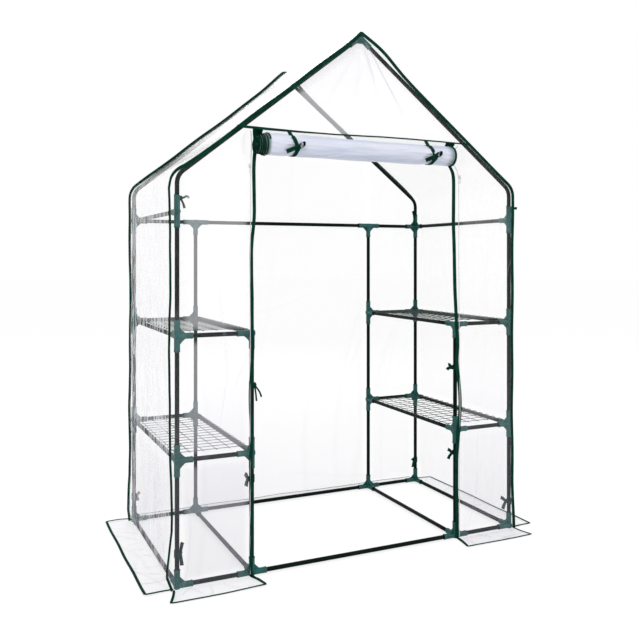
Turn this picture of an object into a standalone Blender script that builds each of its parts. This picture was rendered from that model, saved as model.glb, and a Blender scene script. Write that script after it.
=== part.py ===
"""Walk-in grow house: push-fit tube frame, four wire shelves and a zipped film cover.

Metres, +Z up. The door faces -Y, +X is to the right of somebody looking at the door,
and the origin is on the ground under the middle of the whole footprint, flaps included.
"""
import math

import bmesh
import bpy
from mathutils import Vector

# ---- driving dimensions -------------------------------------------------------------
# frame, between tube axes
FRAME_WIDTH = 1.414          # outer post to outer post
FRAME_DEPTH = 0.735          # front posts to back posts
SHELF_BAY = 0.271            # outer post to inner post
LEVEL_PITCH = 0.427          # one post tube with its share of two connectors
RAFTER_CORNER = 0.125        # top connector to where the roof slope meets the post line
RIDGE_RISE = 0.556           # from that corner up to the ridge
RAFTER_BEND = 0.055          # bend radius of the rafter tube

TUBE = 0.016                 # across flats
CONNECTOR = 0.021
ARM_LENGTH = 0.055           # connector centre to socket mouth
SOCKET_DEPTH = 0.038
SOCKET_CLEARANCE = 0.0003    # all round a tube in its socket
SOCKET_END_GAP = 0.0010
WEB_LEG = 0.043
WEB_THICKNESS = 0.004

# wire shelves
WIRE = 0.0030
SHELF_CELLS_X = 4
SHELF_CELLS_Y = 12
SHELF_OVERHANG = 0.0125      # cross wires past the axis of a long rail
SHELF_END_CLEARANCE = 0.0045

# film cover
FILM = 0.0010
FILM_STAND_OFF = 0.0005      # film to the connectors it is stretched over
SEAM_GAP = 0.0005            # between neighbouring panels
WALL_LIFT = 0.0020           # hem of the walls above the ground
HEADER_BELOW_RIDGE = 0.3755  # seam over the doorway, under the ridge axis
DOOR_EDGE_SET_BACK = 0.004   # door edge outside the axis of an inner post

# ground flaps, lying flat
FLAP = 0.0015
FLAP_FRONT = 0.100
FLAP_SIDE = 0.105
FLAP_BACK = 0.070
FLAP_HINGE_GAP = 0.0020
FLAP_FRONT_OVERHANG = 0.036  # front flaps past the side walls
FLAP_SIDE_BACK_OVERHANG = 0.030
FLAP_SIDE_FRONT_INSET = 0.008
FLAP_BACK_INSET = 0.004

# rolled door with its ties, and the zip sliders
ROLL_DIAMETER = 0.084
ROLL_LEFT_GAP = 0.0175       # roll ends to the edges of the film beside the doorway
ROLL_RIGHT_GAP = 0.0295
ROLL_BELOW_HEADER = 0.057    # roll axis under the header seam
ROLL_SIDES = 20
TIE_X = 0.293
TIE_WIDTH = 0.012
TIE_THICKNESS = 0.0012
TIE_CLEARANCE = 0.0006
TIE_KNOT = 0.016
ZIP_FROM_EDGE = 0.008
ZIP_BELOW_HEADER = 0.130
ZIP_BODY = (0.010, 0.006, 0.016)
ZIP_TAB = (0.006, 0.0025, 0.026)

# ---- sizes that follow --------------------------------------------------------------
TUBE_SIDES = 8
OUTER_X = FRAME_WIDTH / 2
INNER_X = OUTER_X - SHELF_BAY
FRAME_SHIFT = (FLAP_FRONT - FLAP_BACK) / 2
FRONT_Y = FRAME_SHIFT - FRAME_DEPTH / 2
BACK_Y = FRAME_SHIFT + FRAME_DEPTH / 2
MIDDLE_Y = (FRONT_Y + BACK_Y) / 2
BASE_Z = CONNECTOR / 2
LEVELS = [BASE_Z + LEVEL_PITCH * step for step in range(4)]
SHELF_LEVELS = LEVELS[1:3]
TOP_Z = LEVELS[3]
CORNER_Z = TOP_Z + RAFTER_CORNER
RIDGE_Z = CORNER_Z + RIDGE_RISE
SLOPE = math.atan2(RIDGE_RISE, OUTER_X)
HEADER_HEIGHT = RIDGE_Z - HEADER_BELOW_RIDGE

SEAT = ARM_LENGTH - SOCKET_DEPTH + SOCKET_END_GAP    # connector centre to a tube's end
TUBE_R = TUBE / 2
ARM_R = CONNECTOR / 2
SOCKET_R = TUBE_R + SOCKET_CLEARANCE
COVER_OFFSET = ARM_R + FILM_STAND_OFF                # tube axis to the film's inner face
SIDE_FACE = OUTER_X + COVER_OFFSET                   # inner faces of the walls
FRONT_FACE = FRONT_Y - COVER_OFFSET
BACK_FACE = BACK_Y + COVER_OFFSET
DOOR_HALF_WIDTH = INNER_X + DOOR_EDGE_SET_BACK
ROLL_LEFT = ROLL_LEFT_GAP - DOOR_HALF_WIDTH
ROLL_RIGHT = DOOR_HALF_WIDTH - ROLL_RIGHT_GAP
ZIP_X = DOOR_HALF_WIDTH + ZIP_FROM_EDGE

UP, DOWN = Vector((0, 0, 1)), Vector((0, 0, -1))
LEFT, RIGHT = Vector((-1, 0, 0)), Vector((1, 0, 0))
FORWARD, BACKWARD = Vector((0, -1, 0)), Vector((0, 1, 0))

FINISHES = {                 # colour, roughness, metallic
    "tube": ((0.018, 0.060, 0.050), 0.42, 0.35),
    "connector": ((0.030, 0.165, 0.150), 0.45, 0.0),
    "wire": ((0.035, 0.060, 0.055), 0.45, 0.3),
    "film": ((0.840, 0.840, 0.900), 0.18, 0.0),
    "binding": ((0.010, 0.130, 0.080), 0.65, 0.0),
    "slider": ((0.020, 0.060, 0.045), 0.35, 0.6),
}


# ---- helpers ------------------------------------------------------------------------
def material(name, finish):
    colour, roughness, metallic = FINISHES[finish]
    result = bpy.data.materials.new(name)
    result.use_nodes = True
    shader = result.node_tree.nodes["Principled BSDF"]
    shader.inputs["Base Color"].default_value = (*colour, 1.0)
    shader.inputs["Roughness"].default_value = roughness
    shader.inputs["Metallic"].default_value = metallic
    return result


def object_from(bm, name):
    bmesh.ops.recalc_face_normals(bm, faces=bm.faces)
    mesh = bpy.data.meshes.new(name)
    bm.to_mesh(mesh)
    bm.free()
    result = bpy.data.objects.new(name, mesh)
    bpy.context.scene.collection.objects.link(result)
    return result


def finished(body, finish, origin=None):
    """Gives a body its material, smooth shading and, if it moves, an origin on its axis."""
    body.data.materials.append(material(body.name, finish))
    body.data.shade_smooth()
    body.data.set_sharp_from_angle(angle=math.radians(35))
    if origin is not None:
        for vertex in body.data.vertices:
            vertex.co -= Vector(origin)
        body.location = origin
    return body


def section_axes(direction):
    """Two axes across a tube, so that flats of crossing tubes line up."""
    if abs(direction.y) > 0.9:
        return RIGHT, UP
    return BACKWARD, direction.cross(BACKWARD).normalized()


def tube(name, points, radius, sides=TUBE_SIDES):
    """A solid bar with flats, mitred at the inner points. radius is to the flats."""
    points = [Vector(point) for point in points]
    corner = radius / math.cos(math.pi / sides)
    bm = bmesh.new()
    rings = []
    for index, point in enumerate(points):
        before = (point - points[index - 1]).normalized() if index else None
        after = (points[index + 1] - point).normalized() if index + 1 < len(points) else None
        along = ((before or after) + (after or before)).normalized()
        stretch = 1 / along.dot(after or before)
        across, over = section_axes(along)
        ring = []
        for side in range(sides):
            angle = math.tau * (side + 0.5) / sides
            ring.append(bm.verts.new(point + across * corner * math.cos(angle)
                                     + over * corner * stretch * math.sin(angle)))
        rings.append(ring)
    for first, second in zip(rings, rings[1:]):
        for side in range(sides):
            following = (side + 1) % sides
            bm.faces.new((first[side], first[following], second[following], second[side]))
    bm.faces.new(rings[0][::-1])
    bm.faces.new(rings[-1])
    return object_from(bm, name)


def slab(name, outline, thickness):
    """Extrudes a closed flat outline of 3-D points by a thickness vector."""
    bm = bmesh.new()
    near = [bm.verts.new(Vector(point)) for point in outline]
    far = [bm.verts.new(Vector(point) + Vector(thickness)) for point in outline]
    bm.faces.new(near)
    bm.faces.new(far[::-1])
    for index in range(len(outline)):
        following = (index + 1) % len(outline)
        bm.faces.new((near[index], far[index], far[following], near[following]))
    return object_from(bm, name)


def block(name, low, high):
    outline = [(low[0], low[1], low[2]), (high[0], low[1], low[2]),
               (high[0], high[1], low[2]), (low[0], high[1], low[2])]
    return slab(name, outline, (0, 0, high[2] - low[2]))


def combine(body, pieces, operation):
    """One live Boolean of a body with a group of hidden pieces."""
    group = bpy.data.collections.new(f"{body.name}_{operation.lower()}")
    for piece in pieces:
        group.objects.link(piece)
        piece.hide_render = True
        piece.display_type = "WIRE"
    modifier = body.modifiers.new(operation.title(), "BOOLEAN")
    modifier.operation = operation
    modifier.operand_type = "COLLECTION"
    modifier.collection = group
    modifier.solver = "EXACT"
    return body


# ---- frame --------------------------------------------------------------------------
def connector_pieces(name, centre, closed, sockets):
    """Arms, webs and socket bores of one connector.

    closed lists the arms that hold a tube of the same node, sockets those that take
    another node's tube.
    """
    centre = Vector(centre)
    arms = list(closed) + list(sockets)
    solids, bores = [], []
    for number, arm in enumerate(arms):
        start = centre - arm * ARM_R
        solids.append(tube(f"{name}_arm{number}", [start, centre + arm * ARM_LENGTH], ARM_R))
    for number, arm in enumerate(sockets):
        bottom = centre + arm * (ARM_LENGTH - SOCKET_DEPTH)
        mouth = centre + arm * (ARM_LENGTH + TUBE)
        bores.append(tube(f"{name}_bore{number}", [bottom, mouth], SOCKET_R))
    for number, first in enumerate(arms):
        for second in arms[number + 1:]:
            if abs(first.dot(second)) > 0.5:
                continue
            side = first.cross(second).normalized() * WEB_THICKNESS
            corner = centre - side / 2
            outline = [corner, corner + first * WEB_LEG, corner + second * WEB_LEG]
            solids.append(slab(f"{name}_web{len(solids)}", outline, side))
    return solids, bores


def jointed_tube(name, ends, connectors):
    """A run of tubes in one line with the connectors that stay on it."""
    body = tube(name, ends, TUBE_R)
    solids, bores = [], []
    for number, (centre, closed, sockets) in enumerate(connectors):
        more_solids, more_bores = connector_pieces(f"{name}_{number}", centre, closed, sockets)
        solids += more_solids
        bores += more_bores
    combine(body, solids, "UNION")
    combine(body, bores, "DIFFERENCE")
    return finished(body, "tube")


def outer_post(side, y, front):
    """Corner post: three tubes and four connectors, the top one open for the rafter."""
    name = f"post_outer_{'front' if front else 'back'}_{'right' if side > 0 else 'left'}"
    x = side * OUTER_X
    inward = RIGHT * -side
    depth = BACKWARD if front else FORWARD
    connectors = [((x, y, LEVELS[0]), [UP], [inward, depth])]
    for level in SHELF_LEVELS:
        connectors.append(((x, y, level), [UP, DOWN], [inward, depth]))
    across = [depth] if front else [depth, inward]
    connectors.append(((x, y, TOP_Z), [DOWN], [UP] + across))
    return jointed_tube(name, [(x, y, BASE_Z), (x, y, TOP_Z)], connectors)


def inner_post(side, y, front):
    """Post beside the doorway. The front one stops at the upper shelf."""
    name = f"post_inner_{'front' if front else 'back'}_{'right' if side > 0 else 'left'}"
    x = side * INNER_X
    outward = RIGHT * side
    depth = BACKWARD if front else FORWARD
    lower, upper = SHELF_LEVELS
    connectors = [((x, y, lower), [UP, DOWN], [outward, depth])]
    connectors.append(((x, y, upper), [DOWN] if front else [UP, DOWN], [outward, depth]))
    end = upper if front else TOP_Z - SEAT
    return jointed_tube(name, [(x, y, BASE_Z + SEAT), (x, y, end)], connectors)


def cross_rail(name, y, z, connector_arms):
    """Full-width rail of three tubes joined by the connectors of the inner posts."""
    reach = OUTER_X - SEAT
    connectors = [((side * INNER_X, y, z), [LEFT, RIGHT], connector_arms) for side in (-1, 1)]
    return jointed_tube(name, [(-reach, y, z), (reach, y, z)], connectors)


def depth_rail(name, x, z):
    return finished(tube(name, [(x, FRONT_Y + SEAT, z), (x, BACK_Y - SEAT, z)], TUBE_R), "tube")


def short_rail(name, side, y, z):
    ends = [(side * (INNER_X + SEAT), y, z), (side * (OUTER_X - SEAT), y, z)]
    return finished(tube(name, ends, TUBE_R), "tube")


def rafter_line(side, offset, start_z, end_gap, steps):
    """Points up a corner post, round the bend and up the slope, offset outwards."""
    turn = math.pi / 2 - SLOPE
    tangent = RAFTER_BEND * math.tan(turn / 2)
    centre = Vector((OUTER_X - RAFTER_BEND, 0, CORNER_Z - tangent))
    points = [Vector((OUTER_X + offset, 0, start_z))]
    for step in range(steps + 1):
        angle = turn * step / steps
        radius = RAFTER_BEND + offset
        points.append(centre + Vector((math.cos(angle), 0, math.sin(angle))) * radius)
    peak = Vector((0, 0, RIDGE_Z + offset / math.cos(SLOPE)))
    downhill = Vector((math.cos(SLOPE), 0, -math.sin(SLOPE)))
    points.append(peak + downhill * end_gap)
    return [Vector((side * point.x, 0, point.z)) for point in points]


def rafter(side, y, front):
    name = f"rafter_{'front' if front else 'back'}_{'right' if side > 0 else 'left'}"
    line = rafter_line(side, 0.0, TOP_Z + SEAT, SEAT, 5)
    return finished(tube(name, [point + Vector((0, y, 0)) for point in line], TUBE_R), "tube")


def apex_connector(name, y):
    """Two sloping sockets with a web between them."""
    centre = Vector((0, y, RIDGE_Z))
    arms = [Vector((side * math.cos(SLOPE), 0, -math.sin(SLOPE))) for side in (-1, 1)]
    body = tube(name, [centre + arms[0] * ARM_LENGTH, centre, centre + arms[1] * ARM_LENGTH], ARM_R)
    side = Vector((0, WEB_THICKNESS, 0))
    outline = [centre - side / 2, centre - side / 2 + arms[0] * WEB_LEG,
               centre - side / 2 + arms[1] * WEB_LEG]
    combine(body, [slab(f"{name}_web", outline, side)], "UNION")
    bores = []
    for number, arm in enumerate(arms):
        ends = [centre + arm * (ARM_LENGTH - SOCKET_DEPTH), centre + arm * (ARM_LENGTH + TUBE)]
        bores.append(tube(f"{name}_bore{number}", ends, SOCKET_R))
    combine(body, bores, "DIFFERENCE")
    return finished(body, "connector")


def wire_shelf(side, level, tier):
    """Welded grid of square-section wires that rests on the two long rails."""
    name = f"shelf_{tier}_{'right' if side > 0 else 'left'}"
    low_x, high_x = sorted((side * (INNER_X - SHELF_OVERHANG), side * (OUTER_X + SHELF_OVERHANG)))
    high_x = min(high_x, SIDE_FACE - SHELF_END_CLEARANCE)
    low_x = max(low_x, -SIDE_FACE + SHELF_END_CLEARANCE)
    reach = FRAME_DEPTH / 2 - ARM_LENGTH - SHELF_END_CLEARANCE
    bottom = level + TUBE_R + SOCKET_CLEARANCE

    def edges(low, high, cells):
        pitch = (high - low - WIRE) / cells
        return [low + pitch * cell + shift for cell in range(cells + 1) for shift in (0, WIRE)]

    bm = bmesh.new()
    xs = edges(low_x, high_x, SHELF_CELLS_X)
    ys = edges(MIDDLE_Y - reach, MIDDLE_Y + reach, SHELF_CELLS_Y)
    grid = [[bm.verts.new((x, y, bottom)) for y in ys] for x in xs]
    for i in range(len(xs) - 1):
        for j in range(len(ys) - 1):
            if i % 2 and j % 2:
                continue
            bm.faces.new((grid[i][j], grid[i + 1][j], grid[i + 1][j + 1], grid[i][j + 1]))
    top = bmesh.ops.extrude_face_region(bm, geom=bm.faces[:])
    raised = [item for item in top["geom"] if isinstance(item, bmesh.types.BMVert)]
    bmesh.ops.translate(bm, verts=raised, vec=(0, 0, WIRE))
    body = object_from(bm, name)
    return finished(body, "wire", ((low_x + high_x) / 2, MIDDLE_Y, bottom))


# ---- cover --------------------------------------------------------------------------
def roof_height(x, offset):
    """Height of the sloping line at x, offset outwards from the rafter axis."""
    return RIDGE_Z + offset / math.cos(SLOPE) - math.tan(SLOPE) * abs(x)


def end_wall_line(side):
    """Edge of an end panel under the roof film, from the eave to the ridge."""
    eave = TOP_Z + ARM_LENGTH
    return rafter_line(side, COVER_OFFSET - SEAM_GAP, eave, 0.0, 3)


def side_wall(side):
    name = f"cover_wall_{'right' if side > 0 else 'left'}"
    x = side * SIDE_FACE
    outline = [(x, FRONT_FACE - FILM, WALL_LIFT), (x, BACK_FACE + FILM, WALL_LIFT),
               (x, BACK_FACE + FILM, TOP_Z + ARM_LENGTH - SEAM_GAP),
               (x, FRONT_FACE - FILM, TOP_Z + ARM_LENGTH - SEAM_GAP)]
    return finished(slab(name, outline, (side * FILM, 0, 0)), "film")


def roof():
    """One sheet from eave to eave over the bends and the ridge."""
    y = FRONT_FACE - FILM
    eave = TOP_Z + ARM_LENGTH
    inner = rafter_line(1, COVER_OFFSET, eave, 0.0, 3)
    outer = rafter_line(1, COVER_OFFSET + FILM, eave, 0.0, 3)
    mirror = Vector((-1, 1, 1))
    outline = inner + [point * mirror for point in inner[-2::-1]]
    outline += [point * mirror for point in outer[:-1]] + outer[::-1]
    outline = [(point.x, y, point.z) for point in outline]
    depth = BACK_FACE + FILM - y
    return finished(slab("cover_roof", outline, (0, depth, 0)), "film")


def end_panel(name, outline, y, outward):
    body = slab(name, [(x, y, z) for x, z in outline], (0, outward * FILM, 0))
    return finished(body, "film")


def back_wall():
    edge = end_wall_line(1)
    x = SIDE_FACE - SEAM_GAP
    right = [(x, WALL_LIFT)] + [(min(point.x, x), point.z) for point in edge]
    left = [(-x_right, z) for x_right, z in right[-2::-1]]
    return end_panel("cover_wall_back", right + left, BACK_FACE, 1)


def front_gable():
    """Triangle above the header seam."""
    offset = COVER_OFFSET - SEAM_GAP
    low = HEADER_HEIGHT + SEAM_GAP
    reach = (RIDGE_Z + offset / math.cos(SLOPE) - low) / math.tan(SLOPE)
    outline = [(-reach, low), (reach, low), (0, roof_height(0, offset))]
    return end_panel("cover_front_gable", outline, FRONT_FACE, -1)


def front_panel(side):
    """Film between a corner post and the doorway, cut to the slope under the header."""
    name = f"cover_front_{'right' if side > 0 else 'left'}"
    offset = COVER_OFFSET - SEAM_GAP
    reach = (RIDGE_Z + offset / math.cos(SLOPE) - HEADER_HEIGHT) / math.tan(SLOPE)
    edge = end_wall_line(1)[:-1]
    outline = [(DOOR_HALF_WIDTH, WALL_LIFT), (SIDE_FACE - SEAM_GAP, WALL_LIFT)]
    outline += [(min(point.x, SIDE_FACE - SEAM_GAP), point.z) for point in edge]
    outline += [(reach, HEADER_HEIGHT), (DOOR_HALF_WIDTH, HEADER_HEIGHT)]
    return end_panel(name, [(side * x, z) for x, z in outline], FRONT_FACE, -1)


def flap(name, low, high, hinge):
    """Strip of film that lies on the ground outside a wall, hinged along the wall."""
    body = block(name, (*low, 0.0), (*high, FLAP))
    return finished(body, "film", (*hinge, FLAP))


def ground_flaps():
    outer_x = SIDE_FACE + FILM
    outer_front, outer_back = FRONT_FACE - FILM, BACK_FACE + FILM
    front_y = outer_front - FLAP_HINGE_GAP
    back_y = outer_back + FLAP_HINGE_GAP
    side_x = outer_x + FLAP_HINGE_GAP
    for side, word in ((-1, "left"), (1, "right")):
        xs = sorted((side * side_x, side * (outer_x + FLAP_SIDE)))
        ys = (outer_front + FLAP_SIDE_FRONT_INSET, outer_back + FLAP_SIDE_BACK_OVERHANG)
        flap(f"flap_{word}", (xs[0], ys[0]), (xs[1], ys[1]), (side * side_x, MIDDLE_Y))
        xs = sorted((side * DOOR_HALF_WIDTH, side * (outer_x + FLAP_FRONT_OVERHANG)))
        flap(f"flap_front_{word}", (xs[0], outer_front - FLAP_FRONT), (xs[1], front_y),
             (side * (DOOR_HALF_WIDTH + outer_x) / 2, front_y))
    reach = outer_x - FLAP_BACK_INSET
    flap("flap_back", (-reach, back_y), (reach, outer_back + FLAP_BACK), (0, back_y))


# ---- door ---------------------------------------------------------------------------
def door_roll(axis_y, axis_z):
    ends = [(ROLL_LEFT, axis_y, axis_z), (ROLL_RIGHT, axis_y, axis_z)]
    body = tube("door_roll", ends, ROLL_DIAMETER / 2, ROLL_SIDES)
    return finished(body, "film", (0, axis_y, axis_z))


def door_tie(side, axis_y, axis_z):
    """Ribbon loop round the roll with a tab up to the header and a knot in front."""
    name = f"door_tie_{'right' if side > 0 else 'left'}"
    x = side * TIE_X
    inner = ROLL_DIAMETER / 2 + TIE_CLEARANCE
    outer = inner + TIE_THICKNESS
    half = TIE_WIDTH / 2
    body = tube(name, [(x - half, axis_y, axis_z), (x + half, axis_y, axis_z)], outer, ROLL_SIDES)
    top = HEADER_HEIGHT - SEAM_GAP
    tab = block(f"{name}_tab", (x - half, axis_y - TIE_THICKNESS, axis_z),
                (x + half, axis_y + TIE_THICKNESS, top))
    front = axis_y - inner
    knot = block(f"{name}_knot", (x - TIE_KNOT / 2, front - TIE_KNOT / 2, axis_z - TIE_KNOT / 2),
                 (x + TIE_KNOT / 2, front + TIE_KNOT / 2, axis_z + TIE_KNOT / 2))
    combine(body, [tab, knot], "UNION")
    core = tube(f"{name}_core", [(x - TIE_KNOT, axis_y, axis_z), (x + TIE_KNOT, axis_y, axis_z)],
                inner, ROLL_SIDES)
    combine(body, [core], "DIFFERENCE")
    return finished(body, "binding", (0, axis_y, axis_z))


def zip_slider(side):
    """Zip slider at the top of a door edge, with its pull tab hanging below."""
    name = f"zip_slider_{'right' if side > 0 else 'left'}"
    x = side * ZIP_X
    back = FRONT_FACE - FILM - SEAM_GAP * 2
    top = HEADER_HEIGHT - ZIP_BELOW_HEADER
    width, depth, height = ZIP_BODY
    body = block(name, (x - width / 2, back - depth, top - height), (x + width / 2, back, top))
    tab_width, tab_depth, tab_height = ZIP_TAB
    middle = back - depth / 2
    tab_top = top - height / 2
    tab = block(f"{name}_tab", (x - tab_width / 2, middle - tab_depth / 2, tab_top - tab_height),
                (x + tab_width / 2, middle + tab_depth / 2, tab_top))
    combine(body, [tab], "UNION")
    return finished(body, "slider", (x, back, top))


# ---- assembly -----------------------------------------------------------------------
def frame():
    for side, word in ((-1, "left"), (1, "right")):
        for y, front in ((FRONT_Y, True), (BACK_Y, False)):
            outer_post(side, y, front)
            inner_post(side, y, front)
            rafter(side, y, front)
        depth_rail(f"rail_base_outer_{word}", side * OUTER_X, BASE_Z)
        depth_rail(f"rail_base_inner_{word}", side * INNER_X, BASE_Z)
        depth_rail(f"rail_top_{word}", side * OUTER_X, TOP_Z)
        for level, tier in zip(SHELF_LEVELS, ("lower", "upper")):
            prefix = f"rail_{tier}_{word}"
            depth_rail(f"{prefix}_outer", side * OUTER_X, level)
            depth_rail(f"{prefix}_inner", side * INNER_X, level)
            short_rail(f"{prefix}_front", side, FRONT_Y, level)
            short_rail(f"{prefix}_back", side, BACK_Y, level)
            wire_shelf(side, level, tier)
    cross_rail("rail_base_front", FRONT_Y, BASE_Z, [BACKWARD, UP])
    cross_rail("rail_base_back", BACK_Y, BASE_Z, [FORWARD, UP])
    cross_rail("rail_top_back", BACK_Y, TOP_Z, [DOWN])
    apex_connector("apex_front", FRONT_Y)
    apex_connector("apex_back", BACK_Y)


def cover():
    roof()
    back_wall()
    front_gable()
    for side in (-1, 1):
        side_wall(side)
        front_panel(side)
    ground_flaps()


def door():
    axis_y = FRONT_FACE - FILM / 2
    axis_z = HEADER_HEIGHT - ROLL_BELOW_HEADER
    door_roll(axis_y, axis_z)
    for side in (-1, 1):
        door_tie(side, axis_y, axis_z)
        zip_slider(side)


for old in list(bpy.data.objects):
    bpy.data.objects.remove(old)
frame()
cover()
door()
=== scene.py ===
import math

import bmesh
import bpy
import numpy as np
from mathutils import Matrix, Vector


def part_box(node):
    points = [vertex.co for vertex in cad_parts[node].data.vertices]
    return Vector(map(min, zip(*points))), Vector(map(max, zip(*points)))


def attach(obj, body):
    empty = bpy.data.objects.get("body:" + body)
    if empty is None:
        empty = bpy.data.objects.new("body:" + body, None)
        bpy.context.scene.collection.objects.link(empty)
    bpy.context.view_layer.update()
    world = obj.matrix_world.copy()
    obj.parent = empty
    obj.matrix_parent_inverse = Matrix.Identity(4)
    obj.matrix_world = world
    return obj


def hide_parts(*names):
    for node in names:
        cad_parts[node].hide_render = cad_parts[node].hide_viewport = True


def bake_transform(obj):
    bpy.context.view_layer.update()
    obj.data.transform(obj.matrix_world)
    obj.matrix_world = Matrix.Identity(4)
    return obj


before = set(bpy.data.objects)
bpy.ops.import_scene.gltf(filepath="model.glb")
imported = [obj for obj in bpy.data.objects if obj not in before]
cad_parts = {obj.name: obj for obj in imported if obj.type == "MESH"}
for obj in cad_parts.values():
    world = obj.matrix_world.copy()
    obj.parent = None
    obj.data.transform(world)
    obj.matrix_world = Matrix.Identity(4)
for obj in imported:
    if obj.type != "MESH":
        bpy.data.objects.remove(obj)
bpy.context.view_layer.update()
print("stage: frame loaded")


# ---- camera
cameraLook = {
    "place": (-1.364, -2.930, 1.131),  # metres, in the frame of the part
    "turnDeg": 24.83,                  # to the right of straight at the door
    "lensMm": 43.1,
    "shiftY": -0.0951,                 # keeps the posts upright in the picture
}


def makeCamera(look):
    data = bpy.data.cameras.new("camera")
    data.lens = look["lensMm"]
    data.sensor_width = 36
    data.shift_y = look["shiftY"]
    camera = bpy.data.objects.new("camera", data)
    camera.location = look["place"]
    camera.rotation_euler = (math.pi / 2, 0, -math.radians(look["turnDeg"]))
    bpy.context.scene.collection.objects.link(camera)
    bpy.context.scene.camera = camera


makeCamera(cameraLook)


# ---- places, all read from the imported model
def middle(node):
    low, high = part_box(node)
    return (low + high) / 2


def spanOf(node):
    low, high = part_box(node)
    return high - low


outerX = middle("rail_base_outer_right").x
innerX = middle("rail_base_inner_right").x
frontY = middle("rail_upper_left_front").y
backY = middle("rail_upper_left_back").y
levelZ = [middle(name).z for name in
          ("rail_base_outer_left", "rail_lower_left_outer", "rail_upper_left_outer", "rail_top_left")]
tubeRadius = spanOf("rail_top_left").x / 2
connectorRadius = spanOf("apex_front").y / 2
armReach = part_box("post_outer_front_left")[1].z - levelZ[3]
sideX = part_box("cover_wall_right")[1].x          # outer faces of the film
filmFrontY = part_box("cover_front_left")[0].y
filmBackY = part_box("cover_wall_back")[1].y
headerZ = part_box("cover_front_gable")[0].z
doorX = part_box("cover_front_right")[0].x
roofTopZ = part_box("cover_roof")[1].z
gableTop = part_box("cover_front_gable")[1]
slope = (gableTop.z - headerZ) / gableTop.x      # rise of the roof per metre of run
slopeAngle = math.atan(slope)
filmOffset = sideX - outerX
ridgeZ = roofTopZ - filmOffset / math.cos(slopeAngle)
cornerZ = ridgeZ - slope * outerX
bendRadius = 0.055
sideSign = {"left": -1, "right": 1}


# ---- meshes from arrays
def unit(vectors):
    # each row divided by its own length
    return vectors / np.maximum(np.linalg.norm(vectors, axis=-1, keepdims=True), 1e-12)


def smoothStep(value):
    # 0 below 0, 1 above 1, 3t2 - 2t3 between
    t = np.clip(value, 0, 1)
    return t * t * (3 - 2 * t)


def gridQuads(rows, cols, wrap=False):
    # quads between neighbouring rows and columns; wrap joins the last column to the first
    i, j = np.meshgrid(np.arange(rows - 1), np.arange(cols if wrap else cols - 1), indexing="ij")
    here, beside = i * cols + j, i * cols + (j + 1) % cols
    return np.stack([here, beside, beside + cols, here + cols], -1).reshape(-1, 4)


def part(points, quads, tris=None, **values):
    tris = np.zeros((0, 3), int) if tris is None else tris
    return {"points": points.reshape(-1, 3), "quads": quads, "tris": tris, "values": values}


def joinParts(parts):
    # several closed shells as the arrays of one mesh
    shift, quads, tris = 0, [], []
    for each in parts:
        quads.append(each["quads"] + shift)
        tris.append(each["tris"] + shift)
        shift += len(each["points"])
    values = {key: np.concatenate([each["values"][key].ravel() for each in parts])
              for key in parts[0]["values"]}
    points = np.concatenate([each["points"] for each in parts])
    return part(points, np.concatenate(quads), np.concatenate(tris), **values)


def addPiece(name, shape, finish, body="frame", standsFor=()):
    mesh = bpy.data.meshes.new(name)
    corners = np.concatenate([shape["quads"].ravel(), shape["tris"].ravel()])
    sizes = np.concatenate([np.full(len(shape["quads"]), 4), np.full(len(shape["tris"]), 3)])
    starts = np.concatenate([[0], np.cumsum(sizes)[:-1]])
    mesh.vertices.add(len(shape["points"]))
    mesh.vertices.foreach_set("co", shape["points"].astype(np.float32).ravel())
    mesh.loops.add(len(corners))
    mesh.loops.foreach_set("vertex_index", corners.astype(np.int32))
    mesh.polygons.add(len(sizes))
    mesh.polygons.foreach_set("loop_start", starts.astype(np.int32))
    mesh.update(calc_edges=True)
    for key, value in shape["values"].items():
        layer = mesh.attributes.new(key, "FLOAT", "POINT")
        layer.data.foreach_set("value", value.astype(np.float32).ravel())
    mesh.shade_smooth()
    mesh.materials.append(finish)
    piece = bpy.data.objects.new(name, mesh)
    bpy.context.scene.collection.objects.link(piece)
    if body:
        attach(piece, body)
    if standsFor:
        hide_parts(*standsFor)
    return piece


def resample(points, count):
    # count points at equal steps along a polyline
    steps = np.linalg.norm(np.diff(points, axis=0), axis=1)
    along = np.concatenate([[0], np.cumsum(steps)])
    wanted = np.linspace(0, along[-1], count)
    return np.stack([np.interp(wanted, along, points[:, k]) for k in range(points.shape[1])], 1)


def curveThrough(points, count):
    # Catmull-Rom curve through a few points, then equal steps along it
    p = np.asarray(points, float)
    p = np.concatenate([[2 * p[0] - p[1]], p, [2 * p[-1] - p[-2]]])
    t = np.linspace(0, 1, 24, endpoint=False)[:, None, None]
    a, b, c, d = p[None, :-3], p[None, 1:-2], p[None, 2:-1], p[None, 3:]
    dense = 0.5 * (2 * b + (c - a) * t + (2 * a - 5 * b + 4 * c - d) * t**2
                   + (3 * b - a - 3 * c + d) * t**3)
    dense = np.concatenate([dense.transpose(1, 0, 2).reshape(-1, 3), p[-2][None]])
    return resample(dense, count)


def roundSection(radius, count):
    turn = np.linspace(0, 2 * math.pi, count, endpoint=False)
    return np.stack([np.cos(turn), np.sin(turn)], 1) * radius


def tapeSection(width, thick, count=14):
    # superellipse: a flat band with soft edges
    turn = np.linspace(0, 2 * math.pi, count, endpoint=False) + math.pi / count
    across, through = np.cos(turn), np.sin(turn)
    return np.stack([np.sign(across) * np.abs(across) ** 0.45 * width / 2,
                     np.sign(through) * np.abs(through) ** 0.6 * thick / 2], 1)


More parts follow.
